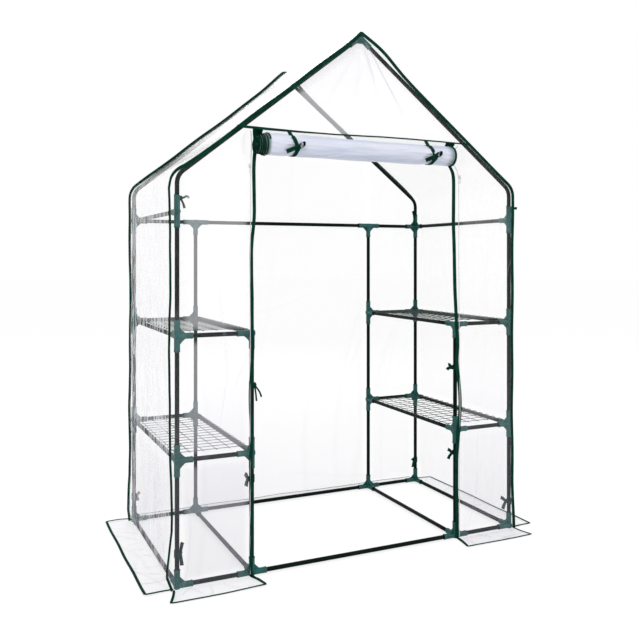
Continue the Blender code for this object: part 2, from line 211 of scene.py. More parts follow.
def sweep(path, section, wide, scale=None):
    # a closed bar: the section, in wide and thick directions, is carried along the path
    tangent = unit(np.gradient(path, axis=0))
    wide = np.broadcast_to(np.asarray(wide, float), path.shape)
    wide = unit(wide - tangent * (wide * tangent).sum(1, keepdims=True))
    thick = np.cross(tangent, wide)
    size = np.ones(len(path)) if scale is None else scale
    rings = (path[:, None] + (section[None, :, :1] * wide[:, None]
             + section[None, :, 1:] * thick[:, None]) * size[:, None, None])
    rows, cols = len(path), len(section)
    steps = np.linalg.norm(np.diff(path, axis=0), axis=1)
    along = np.concatenate([[0], np.cumsum(steps)])
    points = np.concatenate([rings.reshape(-1, 3), path[:1], path[-1:]])
    j = np.arange(cols)
    k = (j + 1) % cols
    first, last = np.full(cols, rows * cols), np.full(cols, rows * cols + 1)
    tris = np.concatenate([np.stack([first, k, j], 1),
                           np.stack([last, j + (rows - 1) * cols, k + (rows - 1) * cols], 1)])
    across = np.broadcast_to(section[None, :, 0] / np.abs(section[:, 0]).max(), (rows, cols))
    alongAll = np.concatenate([np.repeat(along, cols), [0, along[-1]]])
    acrossAll = np.concatenate([across.ravel(), [0, 0]])
    return part(points, gridQuads(rows, cols, True), tris, along=alongAll, across=acrossAll)


def turned(profile, axisStart, direction, count=32):
    # surface of revolution: profile rows are (distance along the axis, radius)
    direction = np.asarray(direction, float)
    helper = np.array([0.0, 1.0, 0.0]) if abs(direction[1]) < 0.9 else np.array([1.0, 0.0, 0.0])
    wide = unit(np.cross(direction, helper))
    thick = np.cross(direction, wide)
    turn = np.linspace(0, 2 * math.pi, count, endpoint=False)
    around = np.cos(turn)[:, None] * wide + np.sin(turn)[:, None] * thick
    rings = (np.asarray(axisStart, float) + profile[:, None, :1] * direction
             + profile[:, None, 1:] * around[None])
    ends = np.asarray(axisStart, float) + profile[[0, -1], :1] * direction
    rows, cols = len(profile), count
    j = np.arange(cols)
    k = (j + 1) % cols
    first, last = np.full(cols, rows * cols), np.full(cols, rows * cols + 1)
    tris = np.concatenate([np.stack([first, k, j], 1),
                           np.stack([last, j + (rows - 1) * cols, k + (rows - 1) * cols], 1)])
    points = np.concatenate([rings.reshape(-1, 3), ends])
    return part(points, gridQuads(rows, cols, True), tris)


# ---- materials: a socket that can be used in sums, and one method that adds nodes
class Wire:
    def __init__(self, paint, socket):
        self.paint, self.socket = paint, socket

    def maths(self, operation, *values):
        return self.paint.node("ShaderNodeMath", {"operation": operation}, dict(enumerate(values)))

    def __add__(self, other):
        return self.maths("ADD", self, other)

    def __sub__(self, other):
        return self.maths("SUBTRACT", self, other)

    def __rsub__(self, other):
        return self.maths("SUBTRACT", other, self)

    def __mul__(self, other):
        return self.maths("MULTIPLY", self, other)

    def __pow__(self, other):
        return self.maths("POWER", self, other)

    __radd__, __rmul__ = __add__, __mul__

    def sine(self):
        return self.maths("SINE", self)

    def size(self):
        return self.maths("ABSOLUTE", self)

    def above(self, edge, softness):
        # 0 below edge - softness, 1 above edge + softness
        return self.paint.node("ShaderNodeMapRange", {"interpolation_type": "SMOOTHSTEP"},
                               {0: self, 1: edge - softness, 2: edge + softness})


class Paint:
    def __init__(self, name):
        self.material = bpy.data.materials.new(name)
        self.material.use_nodes = True
        self.tree = self.material.node_tree
        self.tree.nodes.clear()

    def node(self, kind, settings=None, values=None, output=0):
        made = self.tree.nodes.new(kind)
        for key, value in (settings or {}).items():
            if key == "stops":
                for element, (place, colour) in zip(made.color_ramp.elements, value):
                    element.position, element.color = place, (*colour, 1)
            else:
                setattr(made, key, value)
        for key, value in (values or {}).items():
            if isinstance(value, Wire):
                self.tree.links.new(value.socket, made.inputs[key])
            elif value is not None:
                made.inputs[key].default_value = value
        return Wire(self, made.outputs[output]) if made.outputs else None

    def place(self):
        return self.node("ShaderNodeTexCoord", output="Object")

    def attribute(self, name):
        return self.node("ShaderNodeAttribute", {"attribute_name": name}, output="Fac")

    def noise(self, scale, detail=3.0, stretch=(1, 1, 1), rough=0.5):
        where = self.node("ShaderNodeMapping", values={"Vector": self.place(), "Scale": stretch})
        return self.node("ShaderNodeTexNoise", values={"Vector": where, "Scale": scale,
                                                       "Detail": detail, "Roughness": rough})

    def mixColour(self, factor, first, second):
        return self.node("ShaderNodeMix", {"data_type": "RGBA"},
                         {0: factor, 6: (*first, 1) if isinstance(first, tuple) else first,
                          7: (*second, 1) if isinstance(second, tuple) else second}, output=2)

    def bump(self, height, strength, distance):
        return self.node("ShaderNodeBump", values={"Height": height, "Strength": strength,
                                                   "Distance": distance})

    def finish(self, **values):
        # the Principled shader and the output; keys are socket names with _ for a space
        named = {key.replace("_", " "): value for key, value in values.items()}
        named["Base Color"] = (*named["Base Color"], 1) if isinstance(named["Base Color"], tuple) \
            else named["Base Color"]
        shader = self.node("ShaderNodeBsdfPrincipled", values=named)
        self.node("ShaderNodeOutputMaterial", values={"Surface": shader})
        return self.material


tubeLook = {"colour": (0.0004, 0.0036, 0.0024), "worn": (0.0022, 0.0100, 0.0075), "rough": 0.40}
plasticLook = {"colour": (0.0015, 0.048, 0.044), "light": (0.006, 0.095, 0.088), "rough": 0.42}
wireLook = {"colour": (0.004, 0.020, 0.015), "worn": (0.014, 0.034, 0.028), "rough": 0.38}
tapeLook = {"colour": (0.0001, 0.0150, 0.0080), "light": (0.0006, 0.062, 0.034), "rough": 0.72,
            "ribPitch": 0.0011, "stitchPitch": 0.0042, "stitchPlace": 0.62}
# high and low: painted light on the upper film and painted shade, darker and hazier, towards the ground
# the crease colour and its haze: painted shade in the creases
# the crinkle colour and its haze: painted highlights on the crinkles
filmLook = {"high": (0.88, 0.87, 0.90), "low": (0.44, 0.43, 0.50), "crease": (0.34, 0.34, 0.41),
            "clear": 0.020, "veil": 0.30, "lowShadeVeil": 0.06, "creaseHaze": 0.36, "mottle": 0.05, "rough": 0.10,
            "crinkle": (0.72, 0.72, 0.77), "crinkleHighlightHaze": 0.50, "crinkleScale": 22.0,
            "shade": (0.15, 0.15, 0.165), "shadeHaze": 0.30}
# the flaps lie on the ground, so they take the painted low shade all over
flapLook = dict(filmLook, low=(0.50, 0.49, 0.57), clear=0.16, lowShadeVeil=0.0)
rollLook = {"light": (0.66, 0.67, 0.76), "dark": (0.36, 0.41, 0.53), "tint": (0.020, 0.075, 0.058),
            "alpha": 0.90, "rough": 0.22}
sliderLook = {"colour": (0.56, 0.57, 0.60), "edge": (0.38, 0.40, 0.44), "rough": 0.34}


def tubeFinish(look):
    paint = Paint("tubeCoat")
    blotch = paint.noise(9.0, 4.0, (1, 1, 0.4)).above(0.56, 0.16)
    peel = paint.noise(900.0, 2.0)
    speck = paint.noise(260.0, 3.0).above(0.68, 0.05)
    colour = paint.mixColour(blotch * 0.5 + speck * 0.3, look["colour"], look["worn"])
    return paint.finish(Base_Color=colour, Roughness=blotch * 0.12 + speck * 0.15 + look["rough"],
                        Specular_IOR_Level=0.06, Normal=paint.bump(peel, 0.12, 0.0001))


def plasticFinish(look):
    paint = Paint("connectorPlastic")
    flow = paint.noise(26.0, 4.0, (1, 1, 0.5)).above(0.52, 0.22)
    grain = paint.noise(1500.0, 2.0)
    colour = paint.mixColour(flow * 0.8, look["colour"], look["light"])
    return paint.finish(Base_Color=colour, Roughness=flow * 0.10 + look["rough"],
                        Specular_IOR_Level=0.28, Normal=paint.bump(grain, 0.25, 0.0001))


def wireFinish(look):
    paint = Paint("wireCoat")
    blotch = paint.noise(60.0, 3.0).above(0.55, 0.15)
    dip = paint.noise(420.0, 3.0)
    colour = paint.mixColour(blotch, look["colour"], look["worn"])
    return paint.finish(Base_Color=colour, Roughness=blotch * 0.15 + look["rough"],
                        Specular_IOR_Level=0.25, Normal=paint.bump(dip, 0.4, 0.0002))


def tapeFinish(look):
    # woven tape: ribs across its length, a row of stitches near each edge
    paint = Paint("seamTape")
    along, across = paint.attribute("along"), paint.attribute("across")
    rib = (along * (2 * math.pi / look["ribPitch"])).sine()
    edge = across.size()
    row = 1 - (edge - look["stitchPlace"]).size().above(0.07, 0.03)
    stitch = row * (along * (2 * math.pi / look["stitchPitch"])).sine().above(-0.35, 0.2)
    fade = paint.noise(35.0, 3.0).above(0.5, 0.25)
    colour = paint.mixColour(stitch * 0.65 + fade * 0.4, look["colour"], look["light"])
    height = rib * 0.35 + stitch * 0.9 + paint.noise(700.0, 2.0)
    return paint.finish(Base_Color=colour, Roughness=look["rough"] - stitch * 0.15,
                        Specular_IOR_Level=0.05,
                        Normal=paint.bump(height, 0.35, 0.0002))


def filmFinish(name, look):
    # clear film: see-through where it lies on a tube, milkier where it stands off and in creases;
    # painted shade darkens it in its creases, on the roof and towards the ground, and painted highlights
    # streak its crinkles
    paint = Paint(name)
    crease, crinkle, away = paint.attribute("crease"), paint.attribute("crinkle"), paint.attribute("away")
    mist = paint.noise(2.6, 3.0)
    ripple = paint.noise(30.0, 3.0, (1, 1, 0.35))
    tangle = paint.noise(look["crinkleScale"], 2.5, (1, 1, 0.30), 0.55)
    # painted highlights: light, hazy streaks along the crinkles
    crinkleHighlight = (1 - (tangle - 0.5).size() * 9.0).above(0.50, 0.42) * crinkle
    height = paint.node("ShaderNodeSeparateXYZ", values={"Vector": paint.place()}, output=2)
    # painted shade: the film turns darker and hazier towards the ground
    low = 1 - height.above(0.55, 0.50)
    colour = paint.mixColour(low, look["high"], look["low"])
    # painted shade: creases darker and hazier
    colour = paint.mixColour(crease, colour, look["crease"])
    colour = paint.mixColour(crinkleHighlight, colour, look["crinkle"])
    shade = paint.attribute("shade")                       # where the roof turns away from the light
    colour = paint.mixColour(shade, colour, look["shade"])
    alpha = shade * look["shadeHaze"] + crease * look["creaseHaze"] + mist * look["mottle"] * away
    alpha = alpha + crinkleHighlight * look["crinkleHighlightHaze"] + away * look["veil"] + low * look["lowShadeVeil"] + look["clear"]
    return paint.finish(Base_Color=colour, Alpha=alpha, Roughness=crease * 0.2 + look["rough"],
                        Specular_IOR_Level=0.30,
                        Normal=paint.bump(ripple * 0.5 + tangle * crinkle * 0.3, 0.18, 0.003))


def rollFinish(look):
    # many turns of film on each other: bands of light and shade run along the roll
    paint = Paint("rolledFilm")
    bands = paint.noise(24.0, 4.0, (0.06, 1, 1)).above(0.50, 0.20)
    fine = paint.noise(110.0, 3.0, (0.08, 1, 1)).above(0.52, 0.2)
    # the painted shade of the skin's creases adds to the bands
    shade = bands * 0.60 + fine * 0.25 + paint.attribute("crease") * 0.45
    colour = paint.mixColour(shade, look["light"], look["dark"])
    colour = paint.mixColour(paint.attribute("crinkle"), colour, look["tint"])
    return paint.finish(Base_Color=colour, Alpha=bands * 0.10 + look["alpha"],
                        Roughness=fine * 0.15 + look["rough"], Specular_IOR_Level=0.6,
                        Normal=paint.bump(bands + fine * 0.6, 0.35, 0.0012))


def sliderFinish(look):
    paint = Paint("sliderEnamel")
    wear = paint.noise(300.0, 4.0).above(0.60, 0.06)
    colour = paint.mixColour(wear, look["colour"], look["edge"])
    return paint.finish(Base_Color=colour, Metallic=wear * 0.7, Roughness=wear * 0.1 + look["rough"],
                        Normal=paint.bump(paint.noise(600.0, 2.0), 0.2, 0.0002))


tubePaint = tubeFinish(tubeLook)
plasticPaint = plasticFinish(plasticLook)
wirePaint = wireFinish(wireLook)
tapePaint = tapeFinish(tapeLook)
filmPaint = filmFinish("clearFilm", filmLook)
flapPaint = filmFinish("flapFilm", flapLook)
rollPaint = rollFinish(rollLook)
sliderPaint = sliderFinish(sliderLook)
print("stage: materials made")


# ---- frame: round tubes and moulded connectors
tubeShape = {"sides": 28, "chamfer": 0.0006, "seat": 0.009}   # seat: length hidden in a connector
armShape = {"bead": 0.0006, "beadWidth": 0.005, "lip": 0.0008, "mouthDepth": 0.010,
            "mouthGap": 0.0004, "webLeg": 0.043, "webThick": 0.0042, "sides": 32}
axisOf = {"up": (0, 0, 1), "down": (0, 0, -1), "left": (-1, 0, 0), "right": (1, 0, 0),
          "front": (0, -1, 0), "back": (0, 1, 0)}


def straightTube(name, start, end, standsFor=()):
    # a bar with chamfered ends, as a profile turned round its axis
    start, end = np.array(start, float), np.array(end, float)
    length = np.linalg.norm(end - start)
    c, r = tubeShape["chamfer"], tubeRadius
    stations = np.linspace(c, length - c, 9)
    profile = np.concatenate([[[0, r - c]], np.stack([stations, np.full(9, r)], 1), [[length, r - c]]])
    shape = turned(profile, start, (end - start) / length, tubeShape["sides"])
    return addPiece(name, shape, tubePaint, standsFor=standsFor)


def armProfile():
    # cylinder with a bead and a recessed mouth at the open end
    r, reach, a = connectorRadius, armReach, armShape
    bore = tubeRadius + a["mouthGap"]
    turn = np.linspace(0, math.pi, 7)
    lipMiddle = (r + a["bead"] + bore) / 2
    lipHalf = (r + a["bead"] - bore) / 2
    lip = np.stack([reach - a["lip"] + np.sin(turn) * a["lip"], lipMiddle + np.cos(turn) * lipHalf], 1)
    body = np.array([[-r, r - 0.0008], [-r + 0.0008, r], [reach - a["beadWidth"] - 0.001, r],
                     [reach - a["beadWidth"], r + a["bead"]]])
    floor = np.array([[reach - a["mouthDepth"], bore]])
    return np.concatenate([body, lip, floor])


def meshObject(shape, name="scratch"):
    mesh = bpy.data.meshes.new(name)
    faces = shape["quads"].tolist() + shape["tris"].tolist()
    mesh.from_pydata(shape["points"].tolist(), [], faces)
    made = bpy.data.objects.new(name, mesh)
    bpy.context.scene.collection.objects.link(made)
    return made


def webShape(first, second):
    # triangular plate between two arms, its long edge a little hollow
    first, second = np.array(first, float), np.array(second, float)
    side = unit(np.cross(first, second)) * armShape["webThick"] / 2
    leg = armShape["webLeg"]
    t = np.linspace(0, 1, 9)[:, None]
    sag = 0.0035 * np.sin(math.pi * t)
    edge = first * leg * (1 - t) + second * leg * t - unit(first + second) * sag
    rim = np.concatenate([np.zeros((1, 3)), edge])
    count = len(rim)
    points = np.concatenate([rim - side, rim + side])
    j = np.arange(count)
    k = (j + 1) % count
    quads = np.stack([j, k, k + count, j + count], 1)
    fan = np.arange(1, count - 1)
    low = np.stack([np.zeros_like(fan), fan + 1, fan], 1)
    high = np.stack([np.zeros_like(fan), fan, fan + 1], 1) + count
    return part(points, quads, np.concatenate([low, high]))


connectorCache = {}


def connectorArrays(arms):
    # one Boolean union of the arms and webs, kept for the next connector of the same shape
    key = tuple(arms)
    if key in connectorCache:
        return connectorCache[key]
    directions = [np.array(axisOf.get(arm, arm), float) for arm in arms]
    solids = [meshObject(turned(armProfile(), np.zeros(3), d, armShape["sides"])) for d in directions]
    for number, first in enumerate(directions):
        for second in directions[number + 1:]:
            if abs(first @ second) < 0.9:
                solids.append(meshObject(webShape(first, second)))
    for each in solids:
        tidy = bmesh.new()
        tidy.from_mesh(each.data)
        bmesh.ops.recalc_face_normals(tidy, faces=tidy.faces)
        tidy.to_mesh(each.data)
        tidy.free()
    group = bpy.data.collections.new("scratchGroup")
    for each in solids[1:]:
        group.objects.link(each)
    modifier = solids[0].modifiers.new("join", "BOOLEAN")
    modifier.operation, modifier.operand_type, modifier.collection = "UNION", "COLLECTION", group
    modifier.solver = "EXACT"
    evaluated = solids[0].evaluated_get(bpy.context.evaluated_depsgraph_get())
    mesh = bpy.data.meshes.new_from_object(evaluated)
    for each in solids:
        bpy.data.objects.remove(each)
    bpy.data.collections.remove(group)
    connectorCache[key] = mesh
    return mesh


def addConnector(name, centre, arms, standsFor=()):
    mesh = connectorArrays(arms).copy()
    points = np.zeros(len(mesh.vertices) * 3, np.float32)
    mesh.vertices.foreach_get("co", points)
    mesh.vertices.foreach_set("co", (points.reshape(-1, 3) + np.array(centre, np.float32)).ravel())
    mesh.update()
    mesh.materials.clear()
    mesh.materials.append(plasticPaint)
    mesh.shade_smooth()
    mesh.set_sharp_from_angle(angle=math.radians(32))
    piece = bpy.data.objects.new(name, mesh)
    bpy.context.scene.collection.objects.link(piece)
    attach(piece, "frame")
    if standsFor:
        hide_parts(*standsFor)
    return piece


def addPosts():
    seat = armReach - tubeShape["seat"]
    for word, side in sideSign.items():
        inward, outward = ("right", "left") if side < 0 else ("left", "right")
        for end, y in (("front", frontY), ("back", backY)):
            depth = "back" if end == "front" else "front"
            x = side * outerX
            node = f"post_outer_{end}_{word}"
            for step in range(3):
                straightTube(f"tube_{node}_{step}", (x, y, levelZ[step] + seat),
                             (x, y, levelZ[step + 1] - seat), [node] if step == 0 else ())
            addConnector(f"connector_{node}_0", (x, y, levelZ[0]), ("up", inward, depth))
            for step in (1, 2):
                addConnector(f"connector_{node}_{step}", (x, y, levelZ[step]),
                             ("up", "down", inward, depth))
            top = ("up", "down", depth) + ((inward,) if end == "back" else ())
            addConnector(f"connector_{node}_3", (x, y, levelZ[3]), top)
            x = side * innerX
            node = f"post_inner_{end}_{word}"
            for step in range(2 if end == "front" else 3):
                straightTube(f"tube_{node}_{step}", (x, y, levelZ[step] + seat),
                             (x, y, levelZ[step + 1] - seat), [node] if step == 0 else ())
            addConnector(f"connector_{node}_1", (x, y, levelZ[1]), ("up", "down", outward, depth))
            upper = ("down", outward, depth) if end == "front" else ("up", "down", outward, depth)
            addConnector(f"connector_{node}_2", (x, y, levelZ[2]), upper)


def addRails():
    seat = armReach - tubeShape["seat"]
    for word, side in sideSign.items():
        runs = {f"rail_base_outer_{word}": (outerX, 0), f"rail_base_inner_{word}": (innerX, 0),
                f"rail_top_{word}": (outerX, 3)}
        for tier, step in (("lower", 1), ("upper", 2)):
            runs[f"rail_{tier}_{word}_outer"] = (outerX, step)
            runs[f"rail_{tier}_{word}_inner"] = (innerX, step)
            for end, y in (("front", frontY), ("back", backY)):
                node = f"rail_{tier}_{word}_{end}"
                straightTube(f"tube_{node}", (side * (innerX + seat), y, levelZ[step]),
                             (side * (outerX - seat), y, levelZ[step]), [node])
        for node, (x, step) in runs.items():
            straightTube(f"tube_{node}", (side * x, frontY + seat, levelZ[step]),
                         (side * x, backY - seat, levelZ[step]), [node])
    for node, y, z, arms in (("rail_base_front", frontY, levelZ[0], ("left", "right", "up", "back")),
                             ("rail_base_back", backY, levelZ[0], ("left", "right", "up", "front")),
                             ("rail_top_back", backY, levelZ[3], ("left", "right", "down"))):
        straightTube(f"tube_{node}_middle", (-innerX + seat, y, z), (innerX - seat, y, z), [node])
        for word, side in sideSign.items():
            straightTube(f"tube_{node}_{word}", (side * (innerX + seat), y, z),
                         (side * (outerX - seat), y, z))
            addConnector(f"connector_{node}_{word}", (side * innerX, y, z), arms)


def bentLine(offset, startZ, endGap, count):
    # up a corner post, round the bend and up the slope, in x and z, offset outwards
    turn = math.pi / 2 - slopeAngle
    centreZ = cornerZ - bendRadius * math.tan(turn / 2)
    angle = np.linspace(0, turn, 24)
    arc = np.stack([outerX - bendRadius + np.cos(angle) * (bendRadius + offset),
                    centreZ + np.sin(angle) * (bendRadius + offset)], 1)
    top = np.array([[endGap * math.cos(slopeAngle),
                     ridgeZ + offset / math.cos(slopeAngle) - endGap * math.sin(slopeAngle)]])
    return resample(np.concatenate([[[outerX + offset, startZ]], arc, top]), count)


def addRoofFrame():
    seat = armReach - tubeShape["seat"]
    for end, y in (("front", frontY), ("back", backY)):
        for word, side in sideSign.items():
            line = bentLine(0.0, levelZ[3] + seat, seat, 72)
            path = np.stack([side * line[:, 0], np.full(len(line), y), line[:, 1]], 1)
            shape = sweep(path, roundSection(tubeRadius, tubeShape["sides"]), (0, 1, 0))
            addPiece(f"tube_rafter_{end}_{word}", shape, tubePaint,
                     standsFor=[f"rafter_{end}_{word}"])
        arms = tuple((side * math.cos(slopeAngle), 0.0, -math.sin(slopeAngle)) for side in (-1, 1))
        addConnector(f"connector_apex_{end}", (0, y, ridgeZ), arms, [f"apex_{end}"])


addPosts()
addRails()
addRoofFrame()
print("stage: frame made")


# ---- wire shelves
shelfLook = {"wire": 0.0012, "crossWires": 15, "longWires": 6, "sides": 8, "hookAngle": 84,
             "hookGap": 0.0022, "bend": 0.0012}


def addShelf(tier, word, look):
    # long wires under bowed cross wires, whose ends hook over the two long rails
    side = sideSign[word]
    low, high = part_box(f"shelf_{tier}_{word}")
    railZ = levelZ[1] if tier == "lower" else levelZ[2]
    wire = look["wire"]
    hookRadius = tubeRadius + wire + look["hookGap"]
    turn = np.radians(np.linspace(look["hookAngle"], 0, 9))
    inner = np.stack([innerX - np.sin(turn) * hookRadius, railZ + np.cos(turn) * hookRadius], 1)
    outer = np.stack([outerX + np.sin(turn[::-1]) * hookRadius,
                      railZ + np.cos(turn[::-1]) * hookRadius], 1)
    line = np.concatenate([inner, outer])
    section = roundSection(wire, look["sides"])
    parts = []
    for number, y in enumerate(np.linspace(low.y + 0.004, high.y - 0.004, look["crossWires"])):
        drift = look["bend"] * math.sin(2.3 * number)
        path = np.stack([side * line[:, 0], np.full(len(line), y + drift * 0.4), line[:, 1]], 1)
        parts.append(sweep(resample(path, 40), section, (0, 1, 0)))
    for x in np.linspace(innerX + 0.013, outerX - 0.013, look["longWires"]):
        y = np.linspace(low.y - 0.002, high.y + 0.002, 34)
        dip = look["bend"] * 0.25 * np.sin(y * 31 + x * 40)
        path = np.stack([np.full(34, side * x), y,
                         railZ + hookRadius - 1.9 * wire - np.abs(dip)], 1)
        parts.append(sweep(path, section, (1, 0, 0)))
    node = f"shelf_{tier}_{word}"
    return addPiece(f"mesh_{node}", joinParts(parts), wirePaint, node, [node])


for tierName in ("lower", "upper"):
    for sideName in sideSign:
        addShelf(tierName, sideName, shelfLook)
print("stage: shelves made")


# ---- film cover
coverLook = {
    "rows": 640, "cols": 116,            # grid of the sheet over both sides and the roof
    "slackHeights": (0.00, 0.05, 0.20, 0.50, 0.75, 0.90, 1.20, 1.37, 1.45),
    "slack": {                           # how far each seam stands off its posts at those heights
        "frontLeft": (0.009, 0.026, 0.008, 0.014, 0.0175, 0.016, 0.0125, 0.020, 0.002),
        "backLeft": (0.004, 0.010, 0.002, 0.003, 0.001, -0.001, 0.002, 0.004, 0.001),
        "frontRight": (0.005, 0.004, -0.002, -0.005, -0.004, -0.003, -0.002, 0.000, 0.001),
        "backRight": (0.006, 0.004, 0.001, 0.003, 0.0015, 0.000, 0.002, 0.002, 0.001),
    },
    "ridgeLift": 0.012, "ridgeReach": 0.075,   # the front seam stands up beside the ridge
    "backRidge": 0.014,                        # and the back one over it
    "roofSag": 0.010, "wallSwell": 0.006, "hemZ": 0.0016,
}


def creaseField(a, b, seed, count, length, width, height, tone, lean, spread=(0, 1, 0, 1)):
    # sum of soft ridges: each lies along its own short line in the (a, b) plane, in metres; rise is their
    # height, shade the painted shade laid along them
    draw = np.random.default_rng(seed)
    lowA, highA, lowB, highB = a.min(), a.max(), b.min(), b.max()
    rise, shade = np.zeros_like(a), np.zeros_like(a)
    for number in range(count):
        u, v = draw.uniform(spread[0], spread[1]), draw.uniform(spread[2], spread[3])
        centreA, centreB = lowA + (highA - lowA) * u, lowB + (highB - lowB) * v
        angle = math.radians(lean[0] + draw.normal() * lean[1])
        reach = length * draw.uniform(0.5, 1.5)
        thick = width * draw.uniform(0.6, 1.7)
        along = (a - centreA) * math.cos(angle) + (b - centreB) * math.sin(angle)
        across = -(a - centreA) * math.sin(angle) + (b - centreB) * math.cos(angle)
        across = across + 0.08 * reach * np.sin(along / reach * 2.1 + number)
        fade = np.exp(-(along / reach) ** 4)
        rise += draw.choice((-1, 1)) * draw.uniform(0.4, 1) * height * fade * np.exp(-(across / thick) ** 2)
        shade += draw.uniform(0.3, 1) * tone * fade * np.exp(-(across / (thick * 0.5)) ** 2)
    return rise, shade


def drawnLine(a, b, start, end, width, height, tone):
    # one long soft fold from start to end in the (a, b) plane: its height, and painted shade along it
    start, end = np.array(start), np.array(end)
    reach = np.linalg.norm(end - start)
    flow = (end - start) / reach
    along = ((a - start[0]) * flow[0] + (b - start[1]) * flow[1]) / reach
    across = -(a - start[0]) * flow[1] + (b - start[1]) * flow[0]
    fade = smoothStep(along / 0.1) * smoothStep((1 - along) / 0.5)
    ridge = fade * np.exp(-(across / width) ** 2)
    return height * ridge, tone * ridge


tubeClear = 0.029          # half width of the clear band where film lies on a tube


def offTubes(a, b, uprights, rails, spans=0.0, roof=False):
    # 0 on the nearest tube behind the film, 1 well away from it, in the (a, b) plane of a sheet;
    # rails only lie beyond spans from the middle, and roof adds the line of the rafters
    gap = np.min([np.abs(a - place) for place in uprights], axis=0)
    beside = np.clip(spans - np.abs(a), 0, None)
    for place in rails:
        gap = np.minimum(gap, np.hypot(b - place, beside))
    if roof:
        gap = np.minimum(gap, np.abs(b - ridgeZ + slope * np.abs(a)) * math.cos(slopeAngle))
    return 1 - np.exp(-(gap / tubeClear) ** 4)


def coverProfile(count):
    # outline of the cover across the house: right hem, right eave, ridge, left eave, left hem
    half = bentLine(filmOffset, coverLook["hemZ"], 0.0, 900)
    whole = np.concatenate([half, half[-2::-1] * np.array([-1, 1])])
    line = resample(whole, count)
    tangent = unit(np.gradient(line, axis=0))
    return line, np.stack([tangent[:, 1], -tangent[:, 0]], 1)


def slackAt(line, depth):
    # how far the film stands off the frame, by height, blended left to right and front to back
    z = line[..., 1]
    values = {key: np.interp(z, coverLook["slackHeights"], row)
              for key, row in coverLook["slack"].items()}
    left = 0.5 - 0.5 * np.tanh(line[..., 0] / 0.12)
    atLeft = values["frontLeft"] * (1 - depth) + values["backLeft"] * depth
    atRight = values["frontRight"] * (1 - depth) + values["backRight"] * depth
    lift = coverLook["ridgeLift"] * np.exp(-((line[..., 0] - 0.085) / coverLook["ridgeReach"]) ** 2)
    wander = 0.0012 * np.sin(z * 19.0 + line[..., 0] * 11.0)
    backLift = coverLook["backRidge"] * np.exp(-(line[..., 0] / 0.10) ** 2) * depth ** 2
    return atLeft * left + atRight * (1 - left) + lift * (1 - depth) ** 3 + backLift + wander


def coverEdge(depth, count=900):
    # the seam line at the front (depth 0) or the back (depth 1)
    line, normal = coverProfile(count)
    edge = line + normal * slackAt(line, depth)[:, None]
    y = filmFrontY + (filmBackY - filmFrontY) * depth
    return np.stack([edge[:, 0], np.full(count, y), edge[:, 1]], 1), normal


def edgeX(edge, z, side):
    # where the seam line is, left or right, at height z
    half = edge[edge[:, 0] * side >= 0]
    order = np.argsort(half[:, 2])
    return np.interp(z, half[order, 2], half[order, 0])


def addCoverSheet(look):
    rows, cols = look["rows"], look["cols"]
    line, normal = coverProfile(rows)
    depth = np.linspace(0, 1, cols)[None, :]
    lineGrid = np.broadcast_to(line[:, None, :], (rows, cols, 2))
    normalGrid = np.broadcast_to(normal[:, None, :], (rows, cols, 2))
    steps = np.linalg.norm(np.diff(line, axis=0), axis=1)
    along = np.broadcast_to(np.concatenate([[0], np.cumsum(steps)])[:, None], (rows, cols))
    y = filmFrontY + (filmBackY - filmFrontY) * np.broadcast_to(depth, (rows, cols))
    total = along.max()
    calm = smoothStep(depth / 0.06) * smoothStep((1 - depth) / 0.06)
    calm = calm * smoothStep(along / 0.04) * smoothStep((total - along) / 0.04)
    onRoof = smoothStep((lineGrid[..., 1] - cornerZ + 0.03) / 0.16)
    onLeft = 0.5 - 0.5 * np.tanh(lineGrid[..., 0] / 0.1)
    belly = np.sin(math.pi * depth)
    swell = look["wallSwell"] * np.sin(along * 2.3) * belly * (1 - onRoof)
    sag = -look["roofSag"] * belly ** 0.8 * onRoof
    wide = creaseField(along, y, 3, 26, 0.40, 0.020, 0.0030, 0.10, (3, 6))
    fine = creaseField(along, y, 8, 16, 0.30, 0.006, 0.0012, 0.35, (-4, 7))
    leftWall = creaseField(along, y, 9, 40, 0.26, 0.010, 0.0032, 0.22, (-4, 8), (0.66, 1, 0, 1))
    leftShare = 0.25 + 0.75 * onLeft                       # the right wall hangs smoother
    ridge = np.exp(-((lineGrid[..., 0] + 0.004) / 0.012) ** 2)
    rise = (wide[0] + fine[0] + leftWall[0]) * (1 - onRoof)
    # tone: painted shade along the creases
    tone = wide[1] * leftShare + (fine[1] * leftShare + leftWall[1]) * (1 - onRoof)
    # painted shade on the roof, more on the left slope, and a painted grey line along the ridge
    tone = tone + (0.16 + 0.20 * onLeft) * onRoof + 0.6 * ridge
    drift = 0.0020 * np.sin(along * 9.1 + y * 7.0) * (1 - onRoof)
    # crinkle: where the film is crinkled, mostly on the left wall; the film paint lays painted highlights
    # along it
    crinkle = (0.03 + 0.82 * onLeft) * (1 - onRoof) * (0.8 + 0.2 * np.sin(along * 5.0 + 1))
    away = (0.35 + 0.20 * onLeft) * offTubes(y, lineGrid[..., 1], (frontY, backY), levelZ[:3])
    off = slackAt(lineGrid, depth) + swell + sag + (rise + drift) * calm
    flat = lineGrid + normalGrid * off[..., None]
    points = np.stack([flat[..., 0], y, flat[..., 1]], -1)
    shape = part(points, gridQuads(rows, cols)[:, ::-1], crease=np.clip(tone, 0, 1),
                 crinkle=np.clip(crinkle, 0, 1), away=away, shade=onRoof * onLeft)
    piece = addPiece("film_sides_and_roof", shape, filmPaint,
                     standsFor=["cover_wall_left", "cover_wall_right", "cover_roof"])
    return piece, (filmBackY - filmFrontY, total)


